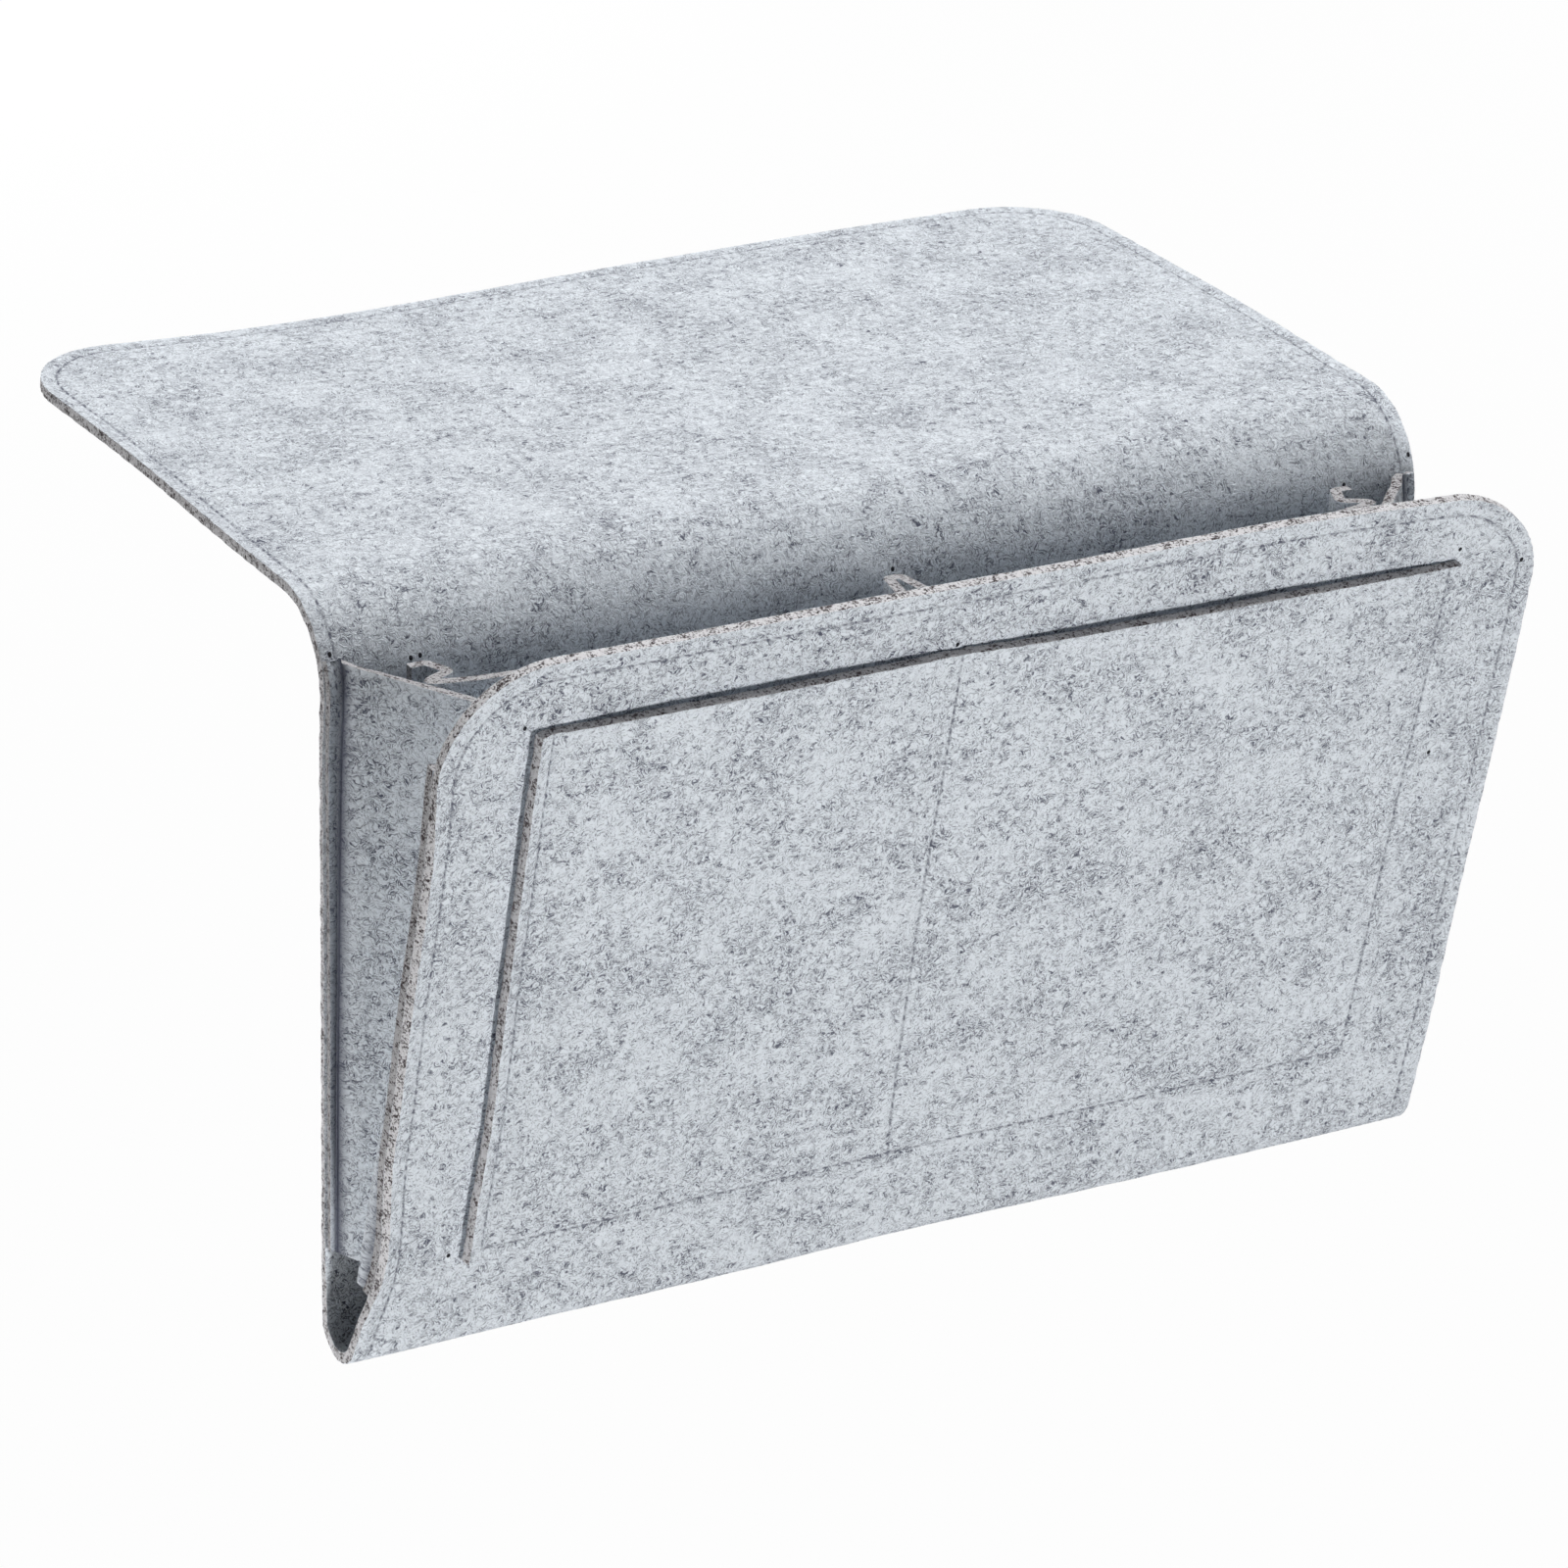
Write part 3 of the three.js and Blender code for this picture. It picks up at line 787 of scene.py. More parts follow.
def cut_material(name, strength):
    """A cut edge of the felt, its light flecks dimmed to a share of their full colour; a dimmed copy is painted
    shade.
    """
    graph, shader = new_material(name, 1.0, 0.05)
    tone = colours()
    light = tuple(strength * c for c in tone.cut_light)
    place = graph.add("TexCoord").outputs["Object"]
    flecks = graph.noise(place, 1500.0, 2.0, 0.7, "3D").outputs[0]
    tufts = graph.noise(place, 420.0, 2.0, 0.6, "3D").outputs[0]
    mixed = graph.weigh((flecks, 1.5), (tufts, 0.9))
    share = graph.ramp(mixed, 0.96, 1.27)
    base = graph.blend(share, (*tone.cut_dark, 1), (*light, 1))
    cover(graph, shader, base, mixed, 0.8, 0.5)


def thread_material():
    graph, shader = new_material("sewing_thread", 0.7, 0.3)
    tone = colours()
    twist = graph.add("UVMap", uv_map="twist").outputs[0]
    slanted = graph.add(
        "Mapping", {"Vector": twist, "Rotation": (0, 0, 0.9), "Scale": (6, 6, 1)}, vector_type="POINT",
    ).outputs[0]
    strand = graph.add("TexWave", {"Vector": slanted, "Scale": 1.2, "Distortion": 0.4}).outputs[1]
    place = graph.add("TexCoord").outputs["Object"]
    worn = graph.noise(place, 160.0, 2.0, 0.5, "3D").outputs[0]
    dull = tuple(0.55 * c for c in tone.thread)
    base = graph.blend(graph.weigh((strand, 0.5), (worn, 0.5)), (*dull, 1), (*tone.thread, 1))
    cover(graph, shader, base, strand, 0.6, 0.1)


def mark_material():
    graph, shader = new_material("punch_mark", 0.9, 0.1)
    tone = colours()
    place = graph.add("TexCoord").outputs["Object"]
    fuzz = graph.noise(place, 2600.0, 2.0, 0.6, "3D").outputs[0]
    worn = tuple(4 * c for c in tone.mark)
    base = graph.blend(fuzz, (*tone.mark, 1), (*worn, 1))
    graph.feed(shader.inputs["Base Color"], base)


# ---- Pieces --------------------------------------------------------------------------------------


class CADDY_OT_materials(bpy.types.Operator):
    """Makes the felt, its cut edges, the thread and the punched marks"""

    bl_idname = "caddy.materials"
    bl_label = "Materials"

    def execute(self, context):
        felt_material(fibre_group(), groove_group())
        cut_material("felt_cut", 1.0)
        # The cut edges of the pockets and pleats: a darker copy of the same cut edge, painted shade
        cut_material("shaded_pocket_cut", 0.70)
        thread_material()
        mark_material()
        return {"FINISHED"}


# The main sheet: where along it the two pieces that show it meet
SPLIT = 0.285


def bend_at_flap(piece):
    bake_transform(piece)


def bend_at_bottom(piece):
    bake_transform(piece)


def side_lines(half, step=4 * MM, fine=1.2 * MM, border=34 * MM):
    """Grid lines across the main sheet, closer in its borders."""
    return lines((-half, fine), (border - half, step), (half - border, fine), half)


def fold_main(piece):
    """Folds a flat cut of the main sheet, from v = 0 at the flap's rear edge."""
    size = sizes()
    half = size.width / 2
    _, bend, _, fold, total = lengths()
    co = positions(piece.data)
    x, v = co[:, 0], co[:, 1]
    map_cut(piece, (0.0, 0.0))
    inset_flap = corner_inset(x, -v, half, 0.0, size.flap_corner)
    inset_front = corner_inset(x, v, half, total, size.front_corner)
    on_front = v > SPLIT
    rim = np.where(on_front, inset_front, inset_flap)
    sewn = np.where(on_front, inset_front - size.front_seam, inset_flap - size.flap_seam)
    plain_back = (v > bend + 20 * MM) & (v < fold - 4 * MM)
    note_edges(piece, np.where(plain_back, FAR, sewn), rim)
    edge = rim < EDGE_WIDTH
    x = np.where(edge, x + np.sign(x) * fray(x, v), x)
    set_positions(piece.data, sheet_point(x, v))
    make_felt(piece, "felt_cut", size.felt, plain_end=np.abs(v - SPLIT) < 0.2 * MM)


class CADDY_OT_main_sheet(bpy.types.Operator):
    """Cuts the main sheet and folds it into flap, back and front"""

    bl_idname = "caddy.main_sheet"
    bl_label = "Main sheet"

    def execute(self, context):
        size = sizes()
        half = size.width / 2
        total = lengths()[-1]
        across = side_lines(half)
        upper = cut_grid("flap_and_back", across, lines((0, 1.3 * MM), (0.034, 2.4 * MM), SPLIT))
        round_corners(upper, half, 0.0, size.flap_corner)
        fold_main(upper)
        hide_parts("flap_panel", "back_panel")
        bend_at_flap(upper)
        lower = cut_grid(
            "front_and_fold", across, lines((SPLIT, 2.4 * MM), (total - 0.045, 1.3 * MM), total),
        )
        round_corners(lower, half, total, size.front_corner)
        fold_main(lower)
        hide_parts("front_panel")
        bend_at_bottom(lower)
        return {"FINISHED"}


# The side pleats, left (-1) and right (1). Each half has five parts across: its sewn edge, the fold beside it,
# the wall, half of the inner crease and the lap.
SEWN, FOLD, WALL, CREASE, LAP = range(5)
PLEAT_ROWS = 75
PLEAT_ANGLE = math.radians(43)  # of a wall to the back panel
PLEAT_FELT = 0.97  # thickness of its felt, as a share of the main sheet's
# Sewn edge: its width at the foot and at the top and how that grows, how far it lies inside the cut edge of the
# back and of the front, its seam from its own edge, and the height of its middle over the fold's inner face
PLEAT_FLANGE = {-1: (2.7 * MM, 4.9 * MM), 1: (4.5 * MM, 6.6 * MM)}
PLEAT_TAPER = {-1: 2.2, 1: 1.0}
PLEAT_INSET = {-1: 0.2 * MM, 1: 2.0 * MM}
FRONT_INSET = 0.2 * MM
PLEAT_SEAM = 1.9 * MM
FLANGE_FACE = 4.9 * MM
FRONT_PRESSED = 0.4 * MM
# Height: of its top, how much lower that is on one side and in the middle, what it keeps free of the front's
# rounded corner, and of its foot at the back, in the middle and at the front
PLEAT_TOP = 182 * MM
PLEAT_LOWER = {-1: 0, 1: 3.5 * MM}
PLEAT_DIP = 5 * MM
CORNER_CLEAR = 0.6 * MM
PLEAT_FOOT = (19.5 * MM, 17.5 * MM, 14.5 * MM)
# Radius of the inner crease and of the fold beside the sewn edge; the bulge beside that fold with its place and
# width, and the width of the painted shade along that fold; the lap's length and how much thinner it is on each
# face
PLEAT_CURL = 2.6 * MM
PLEAT_CREASE = 1.7 * MM
PLEAT_SWELL = (0.5 * MM, 4.5 * MM, 3.2 * MM)
PLEAT_SHADE_WIDTH = 2.4 * MM
PLEAT_LAP = 1.9 * MM
LAP_THINNER = 0.45 * MM
# Flat length of a wall, as a multiple of its width across
WALL_LENGTH = 1.35


def pleat_half(name, side, front):
    """One half of a side pleat: its sewn edge, its wall and half of its crease, from the back or the front.
    A thinner lap runs on into the other half."""
    size = sizes()
    half = size.width / 2
    wall = np.array([math.sin(PLEAT_ANGLE), -math.cos(PLEAT_ANGLE)])
    aside = np.array([wall[1], -wall[0]])
    turn = math.pi / 2 - PLEAT_ANGLE
    back_off = PLEAT_CREASE * math.tan(turn / 2)
    crease_off = PLEAT_CURL * math.tan(PLEAT_ANGLE)
    steps = [np.linspace(0, 1, count + 1)[:-1] for count in (5, 6, 14)]
    steps += [np.linspace(0, 1, 6), np.linspace(0, 1, 6)[1:]]
    piece, column, share = cut_strip(name, sum(len(step) for step in steps), PLEAT_ROWS)
    part = np.repeat(range(len(steps)), [len(step) for step in steps])[column]
    t = np.concatenate(steps)[column]
    starts, spans = np.array([0, 0, 0.1, 0.9, 1.0]), np.array([0, 0.1, 0.8, 0.1, 0])
    reach = starts[part] + spans[part] * t
    foot = PLEAT_FOOT[1] + (PLEAT_FOOT[2 if front else 0] - PLEAT_FOOT[1]) * (1 - reach)
    top = PLEAT_TOP - PLEAT_LOWER[side] - PLEAT_DIP * reach**0.8
    narrow, wide = PLEAT_FLANGE[side]
    if front:
        room = np.where(part == SEWN, (1 - t) * wide, 0)
        open_x = np.clip(size.front_corner - room, 0, size.front_corner)
        corner = size.front_length - size.front_corner + np.sqrt(size.front_corner**2 - open_x**2)
        top = np.minimum(top, corner - CORNER_CLEAR)
    height = foot + (top - foot) * share
    axis = narrow + (wide - narrow) * (height / PLEAT_TOP) ** PLEAT_TAPER[side]
    inset = FRONT_INSET if front else PLEAT_INSET[side]
    face = FLANGE_FACE - (FRONT_PRESSED if front else 0)
    middle = -height * math.tan(size.lean / 2)
    run = (face - middle) / math.cos(PLEAT_ANGLE)
    x = np.empty(len(t))
    y = np.empty(len(t))
    on = part == SEWN
    x[on], y[on] = inset + t[on] * (axis[on] - back_off - inset), face
    on = part == FOLD
    angle = turn * t[on]
    x[on] = axis[on] - back_off + PLEAT_CREASE * np.sin(angle)
    y[on] = face - PLEAT_CREASE * (1 - np.cos(angle))
    on = part == WALL
    along = back_off + (run[on] - crease_off - back_off) * t[on]
    x[on] = axis[on] + wall[0] * along
    y[on] = face + wall[1] * along
    on = part >= CREASE
    past = PLEAT_LAP / PLEAT_CURL * height / PLEAT_TOP
    angle = np.where(part == CREASE, PLEAT_ANGLE * t, PLEAT_ANGLE + past * t)[on]
    along = run[on] - crease_off
    x[on] = axis[on] + wall[0] * along + PLEAT_CURL * (np.sin(angle) * wall[0] + (1 - np.cos(angle)) * aside[0])
    y[on] = face + wall[1] * along + PLEAT_CURL * (np.sin(angle) * wall[1] + (1 - np.cos(angle)) * aside[1])
    away = np.where(part > SEWN, np.hypot(x - axis, y - face), -FAR)
    swell = PLEAT_SWELL[0] * np.exp(-(((away - PLEAT_SWELL[1]) / PLEAT_SWELL[2]) ** 2))
    x, y = x + aside[0] * swell, y + aside[1] * swell
    flat_u = np.where(part == SEWN, x, x * WALL_LENGTH)
    flat_u[on] = (axis[on] + wall[0] * along) * WALL_LENGTH + PLEAT_CURL * angle
    set_positions(piece.data, np.stack([flat_u, height, np.zeros(len(t))], 1))
    map_cut(piece, (0.5 + 0.2 * side + 0.1 * front, 0.7))
    x_row = side * (half - x)
    z = height + size.fold_height
    y_row = BACK_FACE - size.fold_radius - size.felt + y
    held = 1 - smooth(reach * 2.5)
    if front:
        tilt = np.array([math.cos(size.lean / 2), math.sin(size.lean / 2)])
        far = y * tilt[0] + height * tilt[1]
        y_row = y_row - 2 * far * tilt[0]
        z = z - 2 * far * tilt[1]
        ease = (size.fold_radius + size.felt / 2) * math.sin(size.lean)
        s = (z - size.fold_height + ease) / math.cos(size.lean)
        v = lengths()[3] + s
        lift = (ripple(x_row, v) - front_bow(x_row, s) + border_flare(x_row, v)) * held
        moved_x, moved_v, _ = settled(x_row, v)
        moved = (moved_v - v) * held
        x_row = x_row + (moved_x - x_row) * held
        y_row = y_row + lift * math.cos(size.lean) - moved * math.sin(size.lean)
        z = z + lift * math.sin(size.lean) + moved * math.cos(size.lean)
    else:
        over = np.clip((z + size.bend_radius) / (size.bend_radius + size.felt / 2), 0, 1)
        eased = (size.bend_radius + size.felt / 2) * (1 - np.sqrt(1 - over**2))
        v = back_run(z)
        y_row = y_row + eased * (1 - reach) - (ripple(x_row, v) + border_flare(x_row, v)) * held
    wave = 0.35 * MM * np.sin(47 * z + 3 * side) * np.where(part == WALL, np.sin(math.pi * t), 0.0)
    set_positions(piece.data, np.stack([x_row, y_row + wave, z], 1))
    if (side > 0) == front:
        turn_over(piece)
    from_fold = np.where(part == SEWN, axis - x, np.where(part == FOLD, 0, away))
    # Painted shade along the fold beside the sewn edge: darkest at the fold, fading over the sewn edge and the wall
    crease_shade = np.where(part < CREASE, np.exp(-((from_fold / PLEAT_SHADE_WIDTH) ** 2)), 0)
    sewn = np.where(part == SEWN, x - inset - PLEAT_SEAM, FAR)
    note_edges(piece, sewn, np.minimum(top - height, np.where(part == SEWN, x, FAR)))
    note(piece, "crease_shade", crease_shade * MM)
    note(piece, "lap", np.where(part == LAP, LAP_THINNER, 0))
    make_felt(piece, "shaded_pocket_cut", size.felt * PLEAT_FELT, plain_end=(part == LAP) & (t > 0.99))
    return piece


class CADDY_OT_side_pleats(bpy.types.Operator):
    """Folds the strips that close both sides of the pocket"""

    bl_idname = "caddy.side_pleats"
    bl_label = "Side pleats"

    def execute(self, context):
        for side, word in ((-1, "left"), (1, "right")):
            for place, panel, sheet in (("rear", "back", "flap_and_back"), ("front", "front", "front_and_fold")):
                piece = pleat_half(f"{word}_{place}_gusset", side, place == "front")
                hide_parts(f"{word}_{place}_flange", f"{word}_{place}_pleat")
                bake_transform(piece)
        return {"FINISHED"}


# The flat pocket: half its width, its lower edge on the front's slope, its height, the place across of its
# dividing seam at the top and at the foot, and how far its mouth gapes
PATCH_HALF = 134 * MM
PATCH_LOW = 24 * MM
PATCH_HEIGHT = 167 * MM
PATCH_SEAM_TOP = -16.5 * MM
PATCH_SEAM_FOOT = -8.5 * MM
PATCH_GAPE = 1.6 * MM


def patch_seam_x(s):
    """The dividing seam leans a little: its place across at a height on the front."""
    share = np.clip((s - PATCH_LOW) / PATCH_HEIGHT, 0, 1)
    return PATCH_SEAM_FOOT + (PATCH_SEAM_TOP - PATCH_SEAM_FOOT) * np.sqrt(share)


def patch_top(x, s):
    """The flat pocket's mouth isn't quite straight: it rises on the left and drops towards its right end."""
    rise = 1.35 * np.exp(-(((x + 70 * MM) / (75 * MM)) ** 2)) - 0.8 * smooth((x - 60 * MM) / (80 * MM))
    return s + rise * MM * smooth((s - PATCH_LOW - 0.7 * PATCH_HEIGHT) / (0.3 * PATCH_HEIGHT))


def patch_lift(x, s):
    """How far the middle of the flat pocket's felt stands off the front panel."""
    size = sizes()
    seam = patch_seam_x(s)
    left = np.clip((x + PATCH_HALF - 6 * MM) / (seam + PATCH_HALF - 10 * MM), 0, 1)
    right = np.clip((x - seam - 4 * MM) / (PATCH_HALF - 10 * MM - seam), 0, 1)
    lobe = np.where(x < seam, np.sin(math.pi * left), np.sin(math.pi * right))
    mouth = smooth((s - PATCH_LOW - 0.45 * PATCH_HEIGHT) / (0.55 * PATCH_HEIGHT))
    free = smooth((PATCH_HALF - np.abs(x)) / (8 * MM))
    loose = 1.3 * MM * np.clip(1 - (PATCH_HALF + x) / size.pocket_seam, 0, 1)
    gape = 0.25 * MM * (1 + free) + PATCH_GAPE * np.clip(lobe, 0, 1) ** 0.7
    return size.felt / 2 + FELT_CLEAR + loose + gape * mouth


class CADDY_OT_patch_pocket(bpy.types.Operator):
    """Cuts the flat pocket that is sewn on the front"""

    bl_idname = "caddy.patch_pocket"
    bl_label = "Front pocket"

    def execute(self, context):
        size = sizes()
        across = lines(
            (-PATCH_HALF, 1.0 * MM), (-PATCH_HALF + 8 * MM, 3.4 * MM), (-26 * MM, 1.0 * MM), (1 * MM, 3.4 * MM),
            (PATCH_HALF - 8 * MM, 1.0 * MM), PATCH_HALF,
        )
        top = PATCH_LOW + PATCH_HEIGHT
        along = lines((PATCH_LOW, 1.0 * MM), (PATCH_LOW + 8 * MM, 3.0 * MM), (top - 10 * MM, 1.6 * MM), top)
        piece = cut_grid("front_pocket", across, along)
        co = positions(piece.data)
        x, s = co[:, 0], co[:, 1]
        map_cut(piece, (1.3, 1.1))
        side = PATCH_HALF - np.abs(x)
        low = s - PATCH_LOW
        edge = np.minimum(side, low)
        note_edges(piece, edge - size.pocket_seam, np.minimum(edge, top - s), x - patch_seam_x(s))
        x = np.where(side < EDGE_WIDTH, x + np.sign(x) * fray(x, s), x)
        s = np.where((top - s < EDGE_WIDTH) | (low < EDGE_WIDTH), s + fray(s, x), s)
        set_positions(piece.data, front_point(x, patch_top(x, s), patch_lift(x, s)))
        turn_over(piece)
        make_felt(piece, "shaded_pocket_cut", size.felt, rim_slot=-1)
        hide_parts("patch_pocket")
        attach(piece, "front")
        return {"FINISHED"}


# The inner pouch seen from above, left half: place across and distance from the back panel, in mm,
# at its mouth and at its foot
POUCH_MOUTH = (
    (-138, 1.7), (-133.5, 1.7), (-130.5, 9.0), (-139.5, 12.6), (-127, 16.2), (-109, 18.4),
    (-70, 19.6), (-30, 18.2), (-3.9, 14.6), (-1.75, 1.7), (0, 1.7),
)
POUCH_FOOT = (
    (-138, 1.7), (-133.5, 1.7), (-130.5, 4.0), (-139.5, 6.2), (-127, 8.6), (-109, 7.0),
    (-70, 5.0), (-30, 4.9), (-3.9, 4.9), (-1.75, 1.7), (0, 1.7),
)
POUCH_CURLS = (0, 1.6, 1.7, 1.7, 6, 12, 30, 14, 1.7, 1.2, 0)  # radius of each of these corners
POUCH_TOP = -15.5 * MM
POUCH_HEIGHT = 103 * MM
POUCH_SIDE = 136 * MM  # place across of the seams that hold its ends
POUCH_ROWS = 36


def rounded_path(points, radii, steps):
    """A path through corners that are rounded to radii, with as many points whatever the corners."""
    points = np.asarray(points, float)
    out = [points[0]]
    for before, corner, after, radius in zip(points[:-2], points[1:-1], points[2:], radii[1:-1]):
        back = before - corner
        ahead = after - corner
        reach = min(np.linalg.norm(back), np.linalg.norm(ahead)) * 0.46
        back /= np.linalg.norm(back)
        ahead /= np.linalg.norm(ahead)
        half_angle = math.acos(np.clip(back @ ahead, -1, 1)) / 2
        reach = min(reach, radius / max(math.tan(half_angle), 1e-3))
        for t in np.linspace(0, 1, steps):
            out.append(corner + back * reach * (1 - t) ** 2 + ahead * reach * t**2)
    out.append(points[-1])
    return np.array(out)


def spread(path, counts):
    """More points along each stretch of a path."""
    out = []
    for start, end, count in zip(path[:-1], path[1:], counts):
        out.extend(start + (end - start) * i / count for i in range(count))
    out.append(path[-1])
    return np.array(out)


def pouch_paths():
    """The pouch's whole plan at its mouth and at its foot, from left to right."""
    mouth = rounded_path(POUCH_MOUTH, POUCH_CURLS, 6)
    foot = rounded_path(POUCH_FOOT, POUCH_CURLS, 6)
    counts = np.maximum(1, np.rint(np.linalg.norm(np.diff(mouth, axis=0), axis=1) / 3.0)).astype(int)
    mouth, foot = (spread(path, counts) * MM for path in (mouth, foot))
    flip = np.array([-1, 1])
    return (np.concatenate([path, path[-2::-1] * flip]) for path in (mouth, foot))


def pouch_plan(mouth, foot, share):
    """Its plan at a share of its height: it opens softly from the foot to the mouth."""
    openness = smooth(np.asarray(share) * 1.05)
    return foot * (1 - openness) + mouth * openness


def press_with_front(piece):
    """Gives the piece its own copy of its mesh."""
    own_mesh(piece)


class CADDY_OT_inner_pouch(bpy.types.Operator):
    """Folds the pouch that is sewn inside on the back panel"""

    bl_idname = "caddy.inner_pouch"
    bl_label = "Inner pouch"

    def execute(self, context):
        size = sizes()
        mouth, foot = pouch_paths()
        piece, column, share = cut_strip("inner_pocket", len(mouth), POUCH_ROWS)
        run = np.concatenate([[0], np.cumsum(np.linalg.norm(np.diff(mouth, axis=0), axis=1))])
        set_positions(piece.data, np.stack([run[column], share * POUCH_HEIGHT, np.zeros(len(share))], 1))
        map_cut(piece, (2.1, 1.6))
        plan = pouch_plan(mouth[column], foot[column], share[:, None])
        dip = 1.2 * MM * np.sin(np.abs(plan[:, 0]) * 40) * share
        z = POUCH_TOP - POUCH_HEIGHT * (1 - share) - dip
        face = BACK_FACE - size.felt
        set_positions(piece.data, np.stack([plan[:, 0], face - plan[:, 1], z], 1))
        ends = np.minimum(run[column], run[-1] - run[column])
        rim = np.minimum((1 - share) * POUCH_HEIGHT, ends)
        note_edges(piece, share * POUCH_HEIGHT - size.pocket_seam, rim)
        make_felt(piece, "shaded_pocket_cut", size.felt)
        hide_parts("inner_pouch")
        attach(piece, "back")
        press_with_front(piece)
        return {"FINISHED"}


class CADDY_OT_stitching(bpy.types.Operator):
    """Sews every seam, on both faces of the felt"""

    bl_idname = "caddy.stitching"
    bl_label = "Stitching"

    def execute(self, context):
        size = sizes()
        half = size.width / 2
        thick = size.felt / 2
        _, bend, _, fold, total = lengths()

        def upper(x, v, lift):
            return sheet_point(x, v, thick + lift)

        def under(x, v, lift):
            return sheet_point(x, v, -thick - lift)

        inset = size.flap_seam
        run = rounded_run(half - inset, -bend + 0.010, -inset, size.flap_corner - inset)
        run[:, 1] *= -1
        thread = sew("flap_stitching", [(run, upper), (run, under)])
        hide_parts("flap_edge_seam")
        bend_at_flap(thread)

        inset = size.front_seam
        run = rounded_run(half - inset, fold + 0.012, total - inset, size.front_corner - inset)
        thread = sew("front_stitching", [(run, under), (run, upper)])
        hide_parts("front_edge_seam")
        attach(thread, "front")

        inset = size.pocket_seam
        side = PATCH_HALF - inset
        low, high = PATCH_LOW + inset, PATCH_LOW + PATCH_HEIGHT - 1 * MM
        edge = [(-side, high), (-side, low), (side, low), (side, high)]
        rise = np.linspace(low, high, 24)
        middle = np.stack([patch_seam_x(rise), rise], 1)

        def on_patch(x, s, lift):
            return front_point(x, patch_top(x, s), patch_lift(x, s) + thick + lift)

        def inside_front(x, s, lift):
            return front_point(x, s, -size.felt - lift)

        thread = sew(
            "pocket_stitching",
            [(run, place) for place in (on_patch, inside_front) for run in (edge[:2], edge[1:3], edge[2:], middle)],
        )
        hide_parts("patch_edge_seam", "patch_centre_seam")
        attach(thread, "front")

        def on_rear(x, z, lift):
            return sheet_point(x, back_run(z), -thick - lift)

        def on_flange(x, z, lift):
            return sheet_point(x, back_run(z), thick + 1.6 * MM + thick * PLEAT_FELT + lift)

        low = POUCH_TOP - POUCH_HEIGHT + inset
        foot = size.fold_height + 21 * MM
        bend_start = -size.bend_radius
        seams = []
        for word, way in (("left", -1), ("right", 1)):
            x = way * (half - PLEAT_INSET[way] - PLEAT_SEAM)
            runs = ([(x, foot), (x, -14 * MM)], on_flange), ([(x, foot), (x, bend_start)], on_rear)
            thread = sew(f"{word}_rear_stitching", runs)
            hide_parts(f"{word}_rear_seam")
            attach(thread, "back")
            seams.append(([(way * POUCH_SIDE, low), (way * POUCH_SIDE, bend_start)], on_rear))
        seams.append(([(-POUCH_SIDE, low), (POUCH_SIDE, low)], on_rear))
        seams.append(([(0, low), (0, bend_start)], on_rear))
        thread = sew("pouch_rear_stitching", seams)
        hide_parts("pouch_centre_seam")
        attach(thread, "back")

        plan = pouch_plan(*pouch_paths(), inset / POUCH_HEIGHT)
        wall = plan[(np.abs(plan[:, 0]) < 126 * MM) & (plan[:, 1] > 4 * MM)]
        wall = wall[np.argsort(wall[:, 0])]
        face = BACK_FACE - size.felt

        def on_pouch(x, z, lift):
            far = np.interp(x, wall[:, 0], wall[:, 1])
            return np.stack([x, face - far - thick - lift, np.asarray(z, float)], -1)

        near, end = 6 * MM, 124 * MM
        runs = ([(-end, low), (-near, low)], [(near, low), (end, low)])
        thread = sew("pouch_stitching", [(run, on_pouch) for run in runs])
        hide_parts("pouch_edge_seam")
        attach(thread, "back")
        press_with_front(thread)
        return {"FINISHED"}


# Punched marks: place across and up the front's slope, and on the back panel across and height, in mm
FRONT_MARKS = ((155.5, 185.2), (134.6, 193.2), (-16.5, 192.4), (-136.5, 192.2), (-138, 25.5), (139, 124))
BACK_MARKS = ((-157.4, -10.4), (-136, -14.4), (-133.4, -14.2), (1, -14.9), (137.9, -15.2), (158.9, -11))
MARK_RADIUS = 0.55 * MM
MARK_SHAPE = (1.0, 1.25, 0.35, 1.0)  # pressed flat and a little long


class CADDY_OT_marks(bpy.types.Operator):
    """Punches the small marks that guided the sewing"""

    bl_idname = "caddy.marks"
    bl_label = "Punched marks"

    def execute(self, context):
        size = sizes()

        def on_back(x, z, lift):
            return sheet_point(x, back_run(z), size.felt / 2 + lift)

        for name, marks, place, body in (
            ("front_marks", FRONT_MARKS, front_point, "front"),
            ("back_marks", BACK_MARKS, on_back, "back"),
        ):
            start_fresh()
            made = []
            for x, up in marks:
                low = np.asarray(place(x * MM, up * MM, 0.0), float)
                high = np.asarray(place(x * MM, up * MM, MM), float)
                out = Vector(high - low).normalized()
                bpy.ops.mesh.primitive_ico_sphere_add(subdivisions=2, radius=MARK_RADIUS)
                dot = bpy.context.object
                spin = out.to_track_quat("Z", "Y").to_matrix().to_4x4()
                dot.data.transform(Matrix.Translation(Vector(low)) @ spin @ Matrix.Diagonal(MARK_SHAPE))
                made.append(dot)
            start_fresh()
            for dot in made:
                dot.select_set(True)
            bpy.context.view_layer.objects.active = made[0]
            bpy.ops.object.join()
            piece = bpy.context.object
            piece.name = name
            dress(piece, "punch_mark")
            bpy.ops.object.shade_smooth()
            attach(piece, body)
        return {"FINISHED"}


# The photograph's view: eye, the point it looks at, tilt of the frame and focal length on a 36 mm sensor
EYE = Vector((-0.8736, -1.6091, 0.7049))
AIM = Vector((-0.0261, -0.0993, -0.0719))
FRAME_TILT = math.radians(1.477)
FOCAL_LENGTH = 168.75
SENSOR_WIDTH = 36
